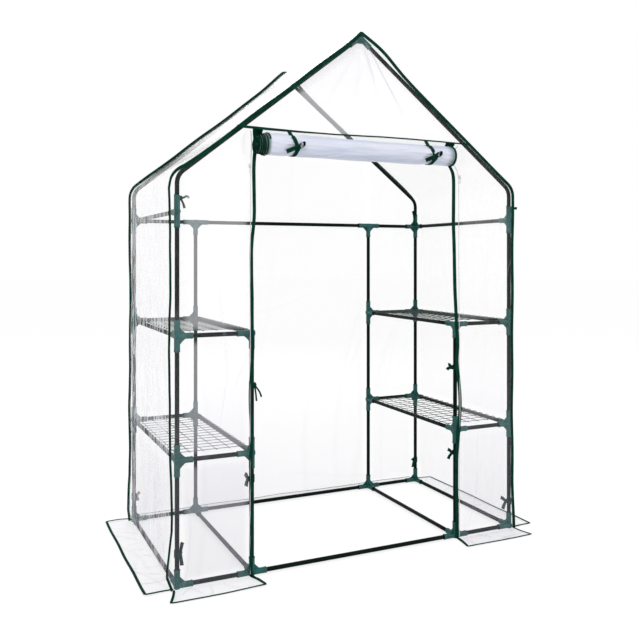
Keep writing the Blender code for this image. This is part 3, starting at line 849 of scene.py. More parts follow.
def panelSheet(name, rowsZ, leftX, rightX, y, outward, cols, fields, swell, veil, standsFor, lines=()):
    # a sheet between two edges that are given row by row; fields and lines add its creases and the painted
    # shade along them
    u = np.linspace(0, 1, cols)[None, :]
    x = leftX[:, None] * (1 - u) + rightX[:, None] * u
    z = np.broadcast_to(rowsZ[:, None], x.shape)
    v = (z - z.min()) / (z.max() - z.min())
    calm = smoothStep((u - 0.045) / 0.08) * smoothStep((0.955 - u) / 0.08)
    calm = calm * smoothStep(v / 0.03) * smoothStep((1 - v) / 0.03)
    parts = [creaseField(x, z, *field) for field in fields]
    parts += [drawnLine(x, z, *line) for line in lines]
    rise, tone = sum(each[0] for each in parts), sum(each[1] for each in parts)
    belly = swell * np.sin(math.pi * u) * np.sin(math.pi * np.clip(v, 0, 1))
    drift = 0.002 * np.sin(x * 11.0 + z * 5.0) + 0.002 * np.sin(x * 5.0 - z * 8.0)
    off = (rise + drift) * calm + belly
    off = off * (1 - 0.9 * smoothStep(behindRoll(x, z) / 0.01))
    back = behindRoll(x, z) if outward < 0 and standsFor != ["cover_front_gable"] else 0
    points = np.stack([x, y + outward * (np.abs(off) * 0.6 + off * 0.4) + back, z], -1)
    quads = gridQuads(len(rowsZ), cols)
    low = z.min() < 0.5                                    # the gable has only rafters behind it
    uprights = (-outerX, -innerX, innerX, outerX) if low else (-9.0,)
    away = veil * offTubes(x, z, uprights, levelZ[:3] if low else (), innerX, True)
    shape = part(points, quads if outward < 0 else quads[:, ::-1], crease=np.clip(tone, 0, 1),
                 crinkle=np.zeros_like(tone), away=away)
    return addPiece(name, shape, filmPaint, standsFor=standsFor)


frontEdge, frontNormal = coverEdge(0.0)
backEdge, backNormal = coverEdge(1.0)


def addEndSheets():
    made = {}
    top = backEdge[:, 2].max() - 0.0004
    rowsZ = np.linspace(coverLook["hemZ"], top, 250)
    fields = [(41, 16, 0.34, 0.024, 0.0028, 0.09, (86, 9)), (42, 7, 0.20, 0.010, 0.0020, 0.16, (60, 25)),
              (43, 5, 0.20, 0.012, 0.0016, 0.12, (5, 10))]
    made["back"] = (panelSheet("film_back", rowsZ, edgeX(backEdge, rowsZ, -1),
                               edgeX(backEdge, rowsZ, 1), filmBackY, 1, 176, fields, 0.006,
                               0.30, ["cover_wall_back"]), (2 * sideX, top), 0.86)
    apex = frontEdge[:, 2].max() - 0.0004
    rowsZ = np.linspace(headerZ, apex, 96)
    fields = [(51, 5, 0.20, 0.020, 0.0030, 0.10, (64, 8), (0.15, 0.5, 0.3, 1)),
              (52, 5, 0.20, 0.020, 0.0030, 0.10, (116, 8), (0.5, 0.85, 0.3, 1))]
    lines = [((0.012, apex - 0.03), (0.225, headerZ + 0.035), 0.0030, 0.0030, 0.85),
             ((0.006, apex - 0.04), (0.085, headerZ + 0.12), 0.0060, 0.0040, 0.45),
             ((-0.012, apex - 0.05), (-0.19, headerZ + 0.05), 0.0120, 0.0040, 0.16),
             ((-0.004, apex - 0.05), (-0.035, headerZ + 0.06), 0.0160, 0.0040, 0.14)]
    made["gable"] = (panelSheet("film_gable", rowsZ, edgeX(frontEdge, rowsZ, -1),
                                edgeX(frontEdge, rowsZ, 1), filmFrontY, -1, 200, fields, 0.004,
                                0.98, ["cover_front_gable"], lines),
                     (2 * gableTop.x, rowsZ[-1] - rowsZ[0]), 0.5)
    rowsZ = np.linspace(coverLook["hemZ"], headerZ, 300)
    for word, side in sideSign.items():
        door = edgeLine(rowsZ, side)
        edge = edgeX(frontEdge, rowsZ, side)
        left, right = (edge, door) if side < 0 else (door, edge)
        fields = [(61 + side, 9, 0.30, 0.016, 0.0030, 0.10, (88, 6)),
                  (65 + side, 4, 0.22, 0.005, 0.0014, 0.34, (82, 9)),
                  (71 + side, 3, 0.10, 0.012, 0.0014, 0.12, (4, 12))]
        made[word] = (panelSheet(f"film_front_{word}", rowsZ, left, right, filmFrontY, -1, 54,
                                 fields, 0.004, 0.66 if side < 0 else 0.26, [f"cover_front_{word}"]),
                      (sideX - doorX, headerZ), 0.93)
    return made


doorLook = {
    "heights": (0.0, 0.20, 0.345, 0.44, 0.535, 0.62, 0.705, 0.79, 0.88, 1.05, 1.18, 1.27, 1.60),
    "left": (0, 0, 0.001, 0.001, -0.002, 0.003, 0.002, -0.006, -0.005, -0.001, -0.002, -0.011, -0.0115),
    "right": (-0.007, -0.009, -0.010, 0.001, 0.009, 0.003, -0.010, -0.003, -0.012, -0.019, -0.0225, -0.0245,
              -0.0250),
    "push": 0.053, "pushReach": 0.046,
}


def doorSwell(z, side):
    # the edge is drawn in where it is tied to a post and stands out between the ties
    row = doorLook["right" if side > 0 else "left"]
    return sum(np.interp(z + d, doorLook["heights"], row) for d in np.linspace(-0.04, 0.04, 9)) / 9


def doorEdge(z, side):
    return doorX + doorSwell(z, side) + 0.0008 * np.sin(z * 23)


def behindRoll(x, z):
    # the rolled door leans on the edges of the panels and pushes them back
    rollMiddle = middle("door_roll").z
    push = doorLook["push"] * np.exp(-((z - rollMiddle) / doorLook["pushReach"]) ** 2)
    return push * smoothStep((headerZ - z) / 0.028) * (1 - smoothStep((np.abs(x) - 0.432) / 0.05))


def edgeLine(z, side):
    # x of a door edge: the left one tucks in behind the end of the roll
    tuck = 0.42 * behindRoll(np.full(len(z), doorX), z) * (side < 0)
    return side * doorEdge(z, side) + tuck


coverSheet, coverCut = addCoverSheet(coverLook)
endSheets = addEndSheets()
print("stage: cover made")


# ---- seam tape
tapeShape = {"arch": (0.0140, 0.0020), "corner": 0.88, "door": (0.0145, 0.0022),
             "flap": (0.0105, 0.0015), "flapBack": (0.0038, 0.0012), "header": (0.0110, 0.0022)}


def tapeAlong(name, path, wide, size, body="frame", count=None, shift=0.0, flutter=0.0, seed=1.0, scale=None):
    # a band of seam tape that follows a path; flutter makes its free edge wander
    path = np.asarray(path, float)
    wide = np.broadcast_to(np.asarray(wide, float), path.shape)
    both = resample(np.concatenate([path, wide * 1e-6], 1), count or len(path))
    line, wide = both[:, :3], unit(both[:, 3:] * 1e6)
    steps = np.concatenate([[0], np.cumsum(np.linalg.norm(np.diff(line, axis=0), axis=1))])
    tangent = unit(np.gradient(line, axis=0))
    thin = np.cross(tangent, wide)
    wave = flutter * (np.sin(steps * 21.0 + seed) + 0.6 * np.sin(steps * 47.0 + seed * 3))
    lean = unit(wide + thin * (wave[:, None] * 60))
    line = line + wide * np.reshape(shift, (-1, 1)) + thin * wave[:, None]
    if scale is not None:
        scale = np.interp(np.linspace(0, 1, len(line)), np.linspace(0, 1, len(scale)), scale)
    return addPiece(name, sweep(line, tapeSection(*size), lean, scale), tapePaint, body)


def addSeams():
    # the arch tape lies over the tubes on the slopes and turns edge-on down the corners
    made = {}
    for name, edge, normal, out in (("front", frontEdge, frontNormal, -1), ("back", backEdge, backNormal, 1)):
        count = 620
        both = resample(np.concatenate([edge, normal * 1e-6], 1), count)
        line, outward = both[:, :3], unit(both[:, 3:] * 1e6)
        onSlope = smoothStep((line[:, 2] - cornerZ + 0.02) / 0.10)
        flat = np.stack([outward[:, 0], np.zeros(count), outward[:, 1]], 1)
        fin = unit(np.stack([outward[:, 0], out * 0.8 * np.ones(count), outward[:, 1]], 1))
        wide = unit(fin * (1 - onSlope[:, None]) + flat * onSlope[:, None])
        size = tapeShape["corner"] + (1 - tapeShape["corner"]) * onSlope
        right = smoothStep((line[:, 0] + 0.1) / 0.2)
        slopeShift = -0.0080 + 0.0045 * right if out < 0 else 0.0020
        inward = slopeShift * onSlope - 0.0035 * right * (1 - onSlope) + 0.0010 * (1 - onSlope)
        line = line + flat * inward[:, None] + np.array([0, out * 0.0016, 0])
        wave = 0.0006 * (np.sin(line[:, 2] * 23.0 + out) + 0.6 * np.sin(line[:, 2] * 51.0 + line[:, 0] * 37))
        line = line + np.cross(unit(np.gradient(line, axis=0)), wide) * wave[:, None]
        shape = sweep(line, tapeSection(*tapeShape["arch"]), wide, size)
        made[name] = addPiece(f"tape_{name}_arch", shape, tapePaint)
    ends = [edgeX(frontEdge, np.array([headerZ]), side)[0] for side in (-1, 1)]
    x = np.linspace(ends[0] + 0.004, ends[1] - 0.004, 150)
    thin = 1 - 0.42 * smoothStep((x + 0.42) / 0.30)
    path = np.stack([x, np.full(150, filmFrontY - 0.0012), headerZ + 0.0022 * np.sin(x * 8.0)], 1)
    made["header"] = tapeAlong("tape_header", path, (0, -0.4, -1), tapeShape["header"], count=150,
                               shift=0.002, flutter=0.0004, seed=5.0, scale=thin)
    for word, side in sideSign.items():
        z = np.linspace(0.003, headerZ, 240)
        x = edgeLine(z, side) + side * 0.002
        path = np.stack([x, filmFrontY - 0.0018 + behindRoll(np.full(240, doorX), z), z], 1)
        made[f"door_{word}"] = tapeAlong(f"tape_door_{word}", path, (side, -0.25, 0),
                                         tapeShape["door"], count=240, shift=0.0015, flutter=0.0006,
                                         seed=7.0 + side)
    return made


seams = addSeams()


# ---- ground flaps
flapShape = {"wave": 0.0050, "cell": 0.008, "rest": 0.0009}


def addFlap(node, wallStart, wallEnd, outer, seed, tapeSize, shade=0.0):
    # film on the ground between its seam and a free edge, with low waves; outer is how far
    # each end of the free edge lies beyond its end of the seam, along and away from it
    start, end = np.array(wallStart, float), np.array(wallEnd, float)
    flow = unit(end - start)
    away = np.array([outer[2], outer[3], 0.0])
    width = np.linalg.norm(away)
    length = np.linalg.norm(end - start)
    rows, cols = int(length / flapShape["cell"]), int(width / flapShape["cell"]) + 3
    u = np.linspace(0, 1, rows)[:, None]
    v = np.linspace(0, 1, cols)[None, :]
    a, b = np.broadcast_to(u * length, (rows, cols)), np.broadcast_to(v * width, (rows, cols))
    ease = v ** 1.3
    alongPlace = u * length + ease * (outer[0] * (1 - u) + outer[1] * u)
    lift = 0.5 + 0.5 * np.sin(a * 15.0 + 2.2 * np.sin(b * 16 + seed) + seed)
    lift = flapShape["wave"] * lift * (0.5 + 0.5 * np.sin(a * 7.3 + seed * 2)) * smoothStep(v / 0.5)
    crease = creaseField(a, b, 80 + int(seed), int(length * 24), 0.05, 0.008, 0.0008, 0.50, (68, 26))
    across = creaseField(a, b, 90 + int(seed), int(length * 5), 0.12, 0.009, 0.0006, 0.30, (6, 9))
    rise = np.clip(lift + np.abs(crease[0] + across[0]), 0, 0.009)
    # tone: painted shade along the creases, and the shade darkens the whole flap
    tone = np.clip(crease[1] + across[1] + shade, 0, 1)
    swing = 0.0010 * np.sin(a * 19.0 + seed) * ease
    place = (start + flow * alongPlace[..., None] + away * v[..., None]
             + unit(away) * swing[..., None])
    points = place + np.array([0, 0, 1.0]) * (flapShape["rest"] + rise)[..., None]
    quads = gridQuads(rows, cols)
    facing = np.cross(end - start, away)[2]
    shape = part(points, quads[:, ::-1] if facing < 0 else quads, crease=tone,
                 crinkle=np.zeros_like(tone), away=np.zeros_like(tone))
    film = addPiece(f"film_{node}", shape, flapPaint, node, [node])
    rim = np.concatenate([points[0, :, :], points[1:, -1, :], points[-1, -2::-1, :]])
    rim = rim + np.array([0, 0, 0.0010])
    flowRim = unit(np.gradient(rim, axis=0))
    wide = np.cross(flowRim, np.array([0, 0, 1.0]))
    share = np.linspace(0, 1, len(rim))
    scale = 0.88 + 0.55 * (1 - smoothStep(share / 0.28)) if "front" in node else None
    tape = tapeAlong(f"tape_{node}", rim, wide, tapeSize, node, count=len(rim), scale=scale)
    return film


def addFlaps():
    for word, side in sideSign.items():
        low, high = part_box(f"flap_{word}")
        x, reach = (low.x, high.x - low.x) if side > 0 else (high.x, high.x - low.x)
        addFlap(f"flap_{word}", (x, low.y, 0), (x, high.y, 0),
                (-0.010 if side < 0 else 0.004, -0.012, side * (reach - 0.006), 0), 2.0 + side,
                tapeShape["flap"])
        low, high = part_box(f"flap_front_{word}")
        seamX = sideX + 0.003                    # the flap starts at the corner seam
        outerEnd = 0.033 if side < 0 else 0.015
        addFlap(f"flap_front_{word}", (side * doorX, high.y, 0), (side * seamX, high.y, 0),
                (-0.018, outerEnd, 0, low.y - high.y + 0.005), 5.0 + side, tapeShape["flap"],
                0.10 if side < 0 else 0.36)
    low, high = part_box("flap_back")
    addFlap("flap_back", (low.x, low.y, 0), (high.x, low.y, 0), (0, 0, 0, high.y - low.y - 0.003), 8.0,
            tapeShape["flapBack"])


addFlaps()
print("stage: flaps made")


# ---- rolled door
rollLow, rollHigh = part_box("door_roll")
rollY, rollZ = (rollLow.y + rollHigh.y) / 2, (rollLow.z + rollHigh.z) / 2
rollRadius = (rollHigh.z - rollLow.z) / 2
tieX = middle("door_tie_right").x
rollShape = {"rows": 200, "cols": 96, "lip": 0.0016, "pinch": 0.0036, "pinchWidth": 0.020,
             "coneLength": 0.044, "coneRadius": 0.0290, "core": 0.010,
             "tape": (0.0080, 0.0018), "telescope": 4.7, "face": 3.0, "rightTape": (0.0090, 0.0020)}


def skinRadius(x, turn):
    # a little out of round, with a lip where the film ends and a waist at each tie
    tie = np.exp(-((np.abs(x) - tieX) / rollShape["pinchWidth"]) ** 2)
    radius = rollRadius - 0.0022 - rollShape["lip"] * turn / (2 * math.pi)
    radius = radius + 0.0030 * np.exp(-((turn - 1.9) / 0.8) ** 2) * smoothStep((0.1 - x) / 0.3) * (1 - tie)
    radius = radius + 0.0011 * np.sin(3 * turn + 5 * x) + 0.0006 * np.sin(7 * turn - 23 * x)
    return radius - rollShape["pinch"] * tie + 0.0008 * tie * np.sin(15 * turn)


def addRoll(look):
    # the skin along the roll; at the left it steps in under the windings, and both ends close
    start, reach = rollLow.x, rollHigh.x
    left = np.linspace(start + 0.003, start + look["coneLength"], 26)
    body = np.linspace(start + look["coneLength"], reach - 0.0015, look["rows"])[1:]
    x = np.concatenate([left, body])
    cone = np.clip((start + look["coneLength"] - x) / (look["coneLength"] - 0.003), 0, 1)
    turn = np.linspace(0, 2 * math.pi, look["cols"], endpoint=False)
    xGrid, turnGrid = np.meshgrid(x, turn, indexing="ij")
    # fold: the skin's creases, and painted shade along them
    fold = creaseField(xGrid, turnGrid * rollRadius, 101, 46, 0.10, 0.0050, 0.0012, 0.40, (2, 6))
    quiet = (cone[:, None] < 0.01) & (xGrid < reach - 0.01)
    radius = skinRadius(xGrid, turnGrid) + fold[0] * quiet
    radius = radius * (1 - cone[:, None]) + look["coneRadius"] * cone[:, None]
    capRadius = np.linspace(0.75, 0.15, 4)
    caps = []
    for ring, xEnd, push in ((0, x[0], 1), (-1, x[-1], -1)):
        caps.append([(radius[ring] * share, np.full(len(turn), xEnd + push * 0.0035)) for share in capRadius])
    rings = [*caps[0][::-1], *zip(radius, xGrid), *caps[1]]
    radiusAll, xAll = np.array([r for r, _ in rings]), np.array([xr for _, xr in rings])
    points = np.stack([xAll, rollY - radiusAll * np.cos(turn), rollZ + radiusAll * np.sin(turn)], -1)
    rows, cols = points.shape[:2]
    centres = np.array([[xAll[0, 0], rollY, rollZ], [xAll[-1, 0], rollY, rollZ]])
    j = np.arange(cols)
    k = (j + 1) % cols
    tris = np.concatenate([np.stack([np.full(cols, rows * cols), j, k], 1),
                           np.stack([np.full(cols, rows * cols + 1), k + (rows - 1) * cols,
                                     j + (rows - 1) * cols], 1)])
    edge = np.zeros((4, cols))
    tone = np.concatenate([edge.ravel(), np.clip(fold[1], 0, 1).ravel(), edge.ravel(), [0, 0]])
    tint = np.clip(smoothStep((xAll - reach + 0.046) / 0.040) * 0.85
                   + 0.80 * smoothStep((start + 0.048 - xAll) / 0.010), 0, 1)
    shape = part(np.concatenate([points.reshape(-1, 3), centres]), gridQuads(rows, cols, True)[:, ::-1],
                 tris, crease=tone, crinkle=np.concatenate([tint.ravel(), [0.80, 0.62]]))
    return addPiece("film_door_roll", shape, rollPaint, "door_roll", ["door_roll"])


def windTape(name, angle, radius, x, size, tilt):
    path = np.stack([x, rollY - radius * np.cos(angle), rollZ + radius * np.sin(angle)], 1)
    outward = np.stack([np.zeros_like(angle), -np.cos(angle), np.sin(angle)], 1)
    wide = np.array([1.0, 0, 0]) * np.sign(x[0]) * -1 + outward * tilt
    shape = sweep(path, tapeSection(*size), wide)
    return addPiece(name, shape, tapePaint, "door_roll")


def addRollTapes(look):
    # left: the edge tape winds out along the roll turn by turn, then in on the end face;
    # right: its windings lie on each other and show as one ring
    turns = look["telescope"] + look["face"]
    t = np.linspace(0, 1, 620)
    angle = t * 2 * math.pi * turns + 0.4
    out = np.clip(t * turns / look["telescope"], 0, 1)
    inward = np.clip((t * turns - look["telescope"]) / look["face"], 0, 1)
    radius = rollRadius - 0.0012 - 0.0080 * out - (rollRadius - 0.0092 - look["core"]) * inward
    radius = radius + 0.0009 * np.sin(angle * 1.37) + 0.0004 * np.sin(angle * 3.1)
    x = rollLow.x - 0.0005 + (look["coneLength"] - 0.004) * (1 - out) + 0.0013 * np.sin(angle * 0.83)
    x = x + 0.004 * inward
    made = [windTape("tape_door_roll_left", angle, radius, x, look["tape"], -0.42)]
    t = np.linspace(0, 1, 240)
    angle = t * 2 * math.pi * 2.3
    radius = rollRadius - 0.0045 + 0.0030 * t + 0.0003 * np.sin(angle * 2.2)
    x = rollHigh.x - 0.0040 - 0.0012 * t + 0.0006 * np.sin(angle * 0.7)
    made.append(windTape("tape_door_roll_right", angle, radius, x, look["rightTape"], 0.1))
    return made


roll = addRoll(rollShape)
addRollTapes(rollShape)


# ---- film between the header and the roll
curtainLook = {"rows": 170, "cols": 90, "edgeWidth": 0.030, "edgeThick": 0.0016}


def hangingRows(count):
    # rows lie closer together in the middle and further apart towards both ends
    return 0.5 - np.sin(np.arcsin(1 - 2 * np.linspace(0, 1, count)) / 3)


def addCurtain(look):
    start, reach = rollLow.x, rollHigh.x
    halfWidth = (reach - start) / 2
    t = hangingRows(look["rows"])
    top = np.array([0, filmFrontY + 0.0006, headerZ - 0.0015])
    bottom = np.array([0, rollY + rollRadius - 0.0040, rollZ])
    u = np.linspace(-1, 1, look["cols"])
    place = top + (bottom - top) * t[:, None]
    points = np.broadcast_to(place[:, None, :], (look["rows"], look["cols"], 3)).copy()
    points[..., 0] = (start + reach) / 2 + u[None, :] * (halfWidth - look["edgeWidth"] * 0.5)
    ripple = 0.0012 * np.sin(u * 31 + 1) + 0.0008 * np.sin(u * 67 + 2)
    points[..., 1] += ripple[None, :] * np.sin(math.pi * t)[:, None]
    a, b = np.meshgrid(np.linspace(0, 1.42, look["rows"]), u * halfWidth, indexing="ij")
    # tone: painted shade along the curtain's folds
    tone = creaseField(b, a, 131, 22, 0.25, 0.016, 0.001, 0.14, (88, 8))[1]
    quads = gridQuads(look["rows"], look["cols"])
    shape = part(points, quads[:, ::-1], crease=np.clip(tone, 0, 1), crinkle=np.zeros_like(tone),
                 away=np.full_like(tone, 0.5))
    sheet = addPiece("film_door_curtain", shape, filmPaint, None)
    made = [sheet]
    for word, side in sideSign.items():
        path = place + np.array([(start + reach) / 2 + side * (halfWidth - 0.0110), -0.0002, 0])
        band = sweep(path, tapeSection(look["edgeWidth"], look["edgeThick"]), (1, 0, 0))
        made.append(addPiece(f"tape_door_curtain_{word}", band, tapePaint, None))
    for piece in made:
        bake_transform(piece)
    return sheet


addCurtain(curtainLook)


# ---- ribbon ties of the door
tieLook = {"ribbon": (0.0160, 0.0012), "stand": 0.0022, "knot": 0.0080, "tail": 0.046}


def knotShape(centre, size, seed, stretch=(1.0, 0.8, 0.9)):
    # a lumpy ball: crossing ridges on an ellipsoid, like ribbon pulled tight
    lat = np.linspace(0.04, math.pi - 0.04, 26)
    lon = np.linspace(0, 2 * math.pi, 36, endpoint=False)
    latGrid, lonGrid = np.meshgrid(lat, lon, indexing="ij")
    ridge = 0.13 * np.abs(np.sin(2 * lonGrid + 2.2 * latGrid + seed)) + 0.08 * np.sin(5 * latGrid + lonGrid)
    radius = size * (0.85 + ridge)
    points = np.stack([stretch[0] * radius * np.sin(latGrid) * np.cos(lonGrid),
                       stretch[1] * radius * np.sin(latGrid) * np.sin(lonGrid),
                       stretch[2] * radius * np.cos(latGrid)], -1) + np.asarray(centre)
    rows, cols = latGrid.shape
    poles = np.stack([points[0].mean(0), points[-1].mean(0)])
    j = np.arange(cols)
    k = (j + 1) % cols
    tris = np.concatenate([np.stack([np.full(cols, rows * cols), j, k], 1),
                           np.stack([np.full(cols, rows * cols + 1), k + (rows - 1) * cols,
                                     j + (rows - 1) * cols], 1)])
    flat = np.concatenate([points.reshape(-1, 3), poles])
    along = np.concatenate([(latGrid * size).ravel(), [0, 0]])
    across = np.concatenate([np.cos(lonGrid * 2).ravel() * 0.4, [0, 0]])
    return part(flat, gridQuads(rows, cols, True)[:, ::-1], tris, along=along, across=across)


def addDoorTie(word, look):
    # a strap from the header down the face of the roll, a knot, a tail, and the turn behind the roll
    side = sideSign[word]
    x = side * tieX
    r = rollRadius - 0.0022 - rollShape["pinch"] + look["stand"]
    knotTurn = math.radians(-10)             # a little below the front of the roll
    knotX, knotZ = x + 0.016, rollZ + r * math.sin(knotTurn)
    face = rollY - r * math.cos(knotTurn)
    turn = np.linspace(math.radians(84), knotTurn, 16)
    lean = np.linspace(0, 1, 16) ** 1.3
    over = np.stack([x - 0.002 + 0.015 * lean, rollY - r * np.cos(turn), rollZ + r * np.sin(turn)], 1)
    top = np.array([[x - 0.006, filmFrontY - 0.0010, headerZ - 0.002]])
    strap = curveThrough(np.concatenate([top, over[2:]]), 46)
    strapPiece = addPiece(f"ribbon_door_tie_{word}_header",
                          sweep(strap, tapeSection(*look["ribbon"]), (1, 0.1, 0.25)), tapePaint)
    turn = np.linspace(knotTurn - 0.10, math.radians(-268), 60)
    lean = np.linspace(0, 1, 60)
    loop = np.stack([knotX - 0.018 * lean, rollY - r * np.cos(turn), rollZ + r * np.sin(turn)], 1)
    parts = [sweep(loop, tapeSection(*look["ribbon"]), (1, 0, 0))]
    knot = np.array([knotX, face - 0.0040, knotZ])
    parts.append(knotShape(knot, look["knot"], side))
    low = curveThrough([knot, knot + [-0.014, -0.006, -0.006], knot + [-0.031, -0.004, -0.014],
                        knot + [-look["tail"], 0.002, -0.021]], 30)
    loopUp = curveThrough([knot, knot + [0.007, -0.006, 0.012], knot + [0.019, -0.007, 0.016],
                           knot + [0.020, -0.006, 0.003], knot + [0.008, -0.005, -0.006], knot], 36)
    stub = curveThrough([knot, knot + [-0.004, -0.005, -0.010], knot + [-0.010, -0.002, -0.018]], 12)
    for path, wide in ((low, (0.15, -0.25, 1)), (loopUp, (0.1, -1, 0.1)), (stub, (1, -0.4, 0.1))):
        parts.append(sweep(path, tapeSection(*look["ribbon"]), wide))
    piece = addPiece(f"ribbon_door_tie_{word}", joinParts(parts), tapePaint,
                     "door_carrier", [f"door_tie_{word}"])


for sideName in sideSign:
    addDoorTie(sideName, tieLook)
print("stage: door made")


# ---- zips
zipLook = {"pitch": 0.0026, "width": 0.0040, "thick": 0.0024}
coilLook = {"colour": (0.70, 0.70, 0.74), "shade": (0.55, 0.56, 0.60), "alpha": 0.55, "rough": 0.35}


def coilFinish(look):
    # clear nylon teeth
    paint = Paint("zipCoil")
    mist = paint.noise(80.0, 3.0)
    colour = paint.mixColour(mist, look["colour"], look["shade"])
    return paint.finish(Base_Color=colour, Alpha=mist * 0.2 + look["alpha"],
                        Roughness=mist * 0.1 + look["rough"], Specular_IOR_Level=0.3)


coilPaint = coilFinish(coilLook)


def addZipChain(word, look):
    # a narrow ridge whose thickness beats once for each tooth
    side = sideSign[word]
    zLow, zHigh = 0.010, headerZ - 0.012
    count = int((zHigh - zLow) / look["pitch"] * 4)
    z = np.linspace(zLow, zHigh, count)
    beat = 0.72 + 0.28 * np.sign(np.sin(2 * math.pi * z / look["pitch"]))
    x = middle(f"zip_slider_{word}").x + side * 0.2 * doorSwell(z, side) + edgeLine(z, side) \
        - side * doorEdge(z, side)
    path = np.stack([x, filmFrontY - 0.0034 + behindRoll(np.full(count, doorX), z), z], 1)
    shape = sweep(path, tapeSection(look["width"], look["thick"], 8), (1, 0, 0), beat)
    return addPiece(f"zip_chain_{word}", shape, coilPaint)


def roundedBox(low, high, radius):
    # superellipsoid stretched to a box: two angles on a grid
    lat = np.linspace(-math.pi / 2 + 0.02, math.pi / 2 - 0.02, 22)
    lon = np.linspace(0, 2 * math.pi, 32, endpoint=False)
    latGrid, lonGrid = np.meshgrid(lat, lon, indexing="ij")
    power = radius

    def soft(value):
        return np.sign(value) * np.abs(value) ** power

    size, centre = (np.array(high) - low) / 2, (np.array(high) + low) / 2
    points = np.stack([soft(np.cos(latGrid)) * soft(np.cos(lonGrid)) * size[0],
                       soft(np.cos(latGrid)) * soft(np.sin(lonGrid)) * size[1],
                       soft(np.sin(latGrid)) * size[2]], -1) + centre
    rows, cols = latGrid.shape
    j = np.arange(cols)
    k = (j + 1) % cols
    tris = np.concatenate([np.stack([np.full(cols, rows * cols), k, j], 1),
                           np.stack([np.full(cols, rows * cols + 1), j + (rows - 1) * cols,
                                     k + (rows - 1) * cols], 1)])
    poles = np.stack([points[0].mean(0), points[-1].mean(0)])
    return part(np.concatenate([points.reshape(-1, 3), poles]), gridQuads(rows, cols, True), tris)


def addSlider(word):
    # slider body with a bridge, and a pull tab with a hole in it
    node = f"zip_slider_{word}"
    low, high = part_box(node)
    low, high = np.array(low), np.array(high)
    middleX = (low[0] + high[0]) / 2
    bodyLow = np.array([low[0], low[1], high[2] - 0.016])
    plate = roundedBox(bodyLow + [0, 0.002, 0], high, 0.35)
    angle = np.linspace(0, math.pi, 14)
    bridge = np.stack([np.full(14, middleX), low[1] + 0.003 - 0.0028 * np.sin(angle),
                       high[2] - 0.008 - 0.0055 * np.cos(angle)], 1)
    bridgeShape = sweep(bridge, roundSection(0.0009, 10), (1, 0, 0))
    hole = np.linspace(0, 2 * math.pi, 40)
    ring = np.stack([middleX + 0.0028 * np.cos(hole), np.full(40, low[1] + 0.001),
                     low[2] + 0.014 + 0.0105 * np.sin(hole)], 1)
    ringShape = sweep(ring, tapeSection(0.0016, 0.0012, 10), (0, 1, 0))
    tip = roundedBox([middleX - 0.0030, low[1] + 0.0003, low[2]],
                     [middleX + 0.0030, low[1] + 0.0019, low[2] + 0.008], 0.4)
    parts = [plate, bridgeShape, ringShape, tip]
    for each in parts:
        each["values"] = {}
    return addPiece(f"slider_{node}", joinParts(parts), sliderPaint, f"zip_{word}", [node])


for sideName in sideSign:
    addZipChain(sideName, zipLook)
    addSlider(sideName)
print("stage: zips made")


# ---- ribbon bows that hold the cover to the posts
bowLook = {"ribbon": (0.0150, 0.0010), "knot": 0.0080, "stand": 0.0012}
bowPlaces = [  # name, x, y, z, way the tails point, their angles in degrees, length, seed, width
    ("outer_front_left_top", -outerX, frontY, levelZ[3] + 0.046, (0.9, 0.10), (14, -64), 0.032, 1, 0.6),
    ("outer_front_right_top", outerX, frontY, levelZ[3] + 0.048, (0.9, -0.42), (8, -100), 0.020, 2, 0.8),
    ("outer_back_right_top", outerX, backY, levelZ[3] + 0.050, (-0.7, -0.5), (52, -78), 0.040, 3, 0.8),
    ("inner_front_left_high", -innerX, frontY, 0.678, (0.75, 0.3), (-50, -80), 0.052, 4, 0.5),
    ("inner_front_left_low", -innerX, frontY, 0.345, (-0.9, 0.3), (62, -74), 0.024, 5, 1.0),
    ("inner_front_right_high", innerX, frontY, 0.690, (-0.9, 0.2), (42, -14), 0.022, 6, 0.9),
    ("inner_front_right_low", innerX, frontY, 0.345, (-0.9, 0.2), (46, -52), 0.026, 7, 0.9),
    ("outer_front_left_foot", -outerX, frontY, 0.120, (0.9, 0.35), (74, -80), 0.040, 8, 0.9),
    ("outer_front_right_foot", outerX, frontY, 0.112, (-0.8, 0.3), (44, -66), 0.030, 9, 1.0),
    ("outer_back_right_foot", outerX, backY, 0.110, (-0.8, -0.4), (30, -70), 0.030, 10, 1.0),
    ("outer_back_left_foot", -outerX, backY, 0.110, (0.8, 0.4), (35, -70), 0.022, 11, 0.9),
]


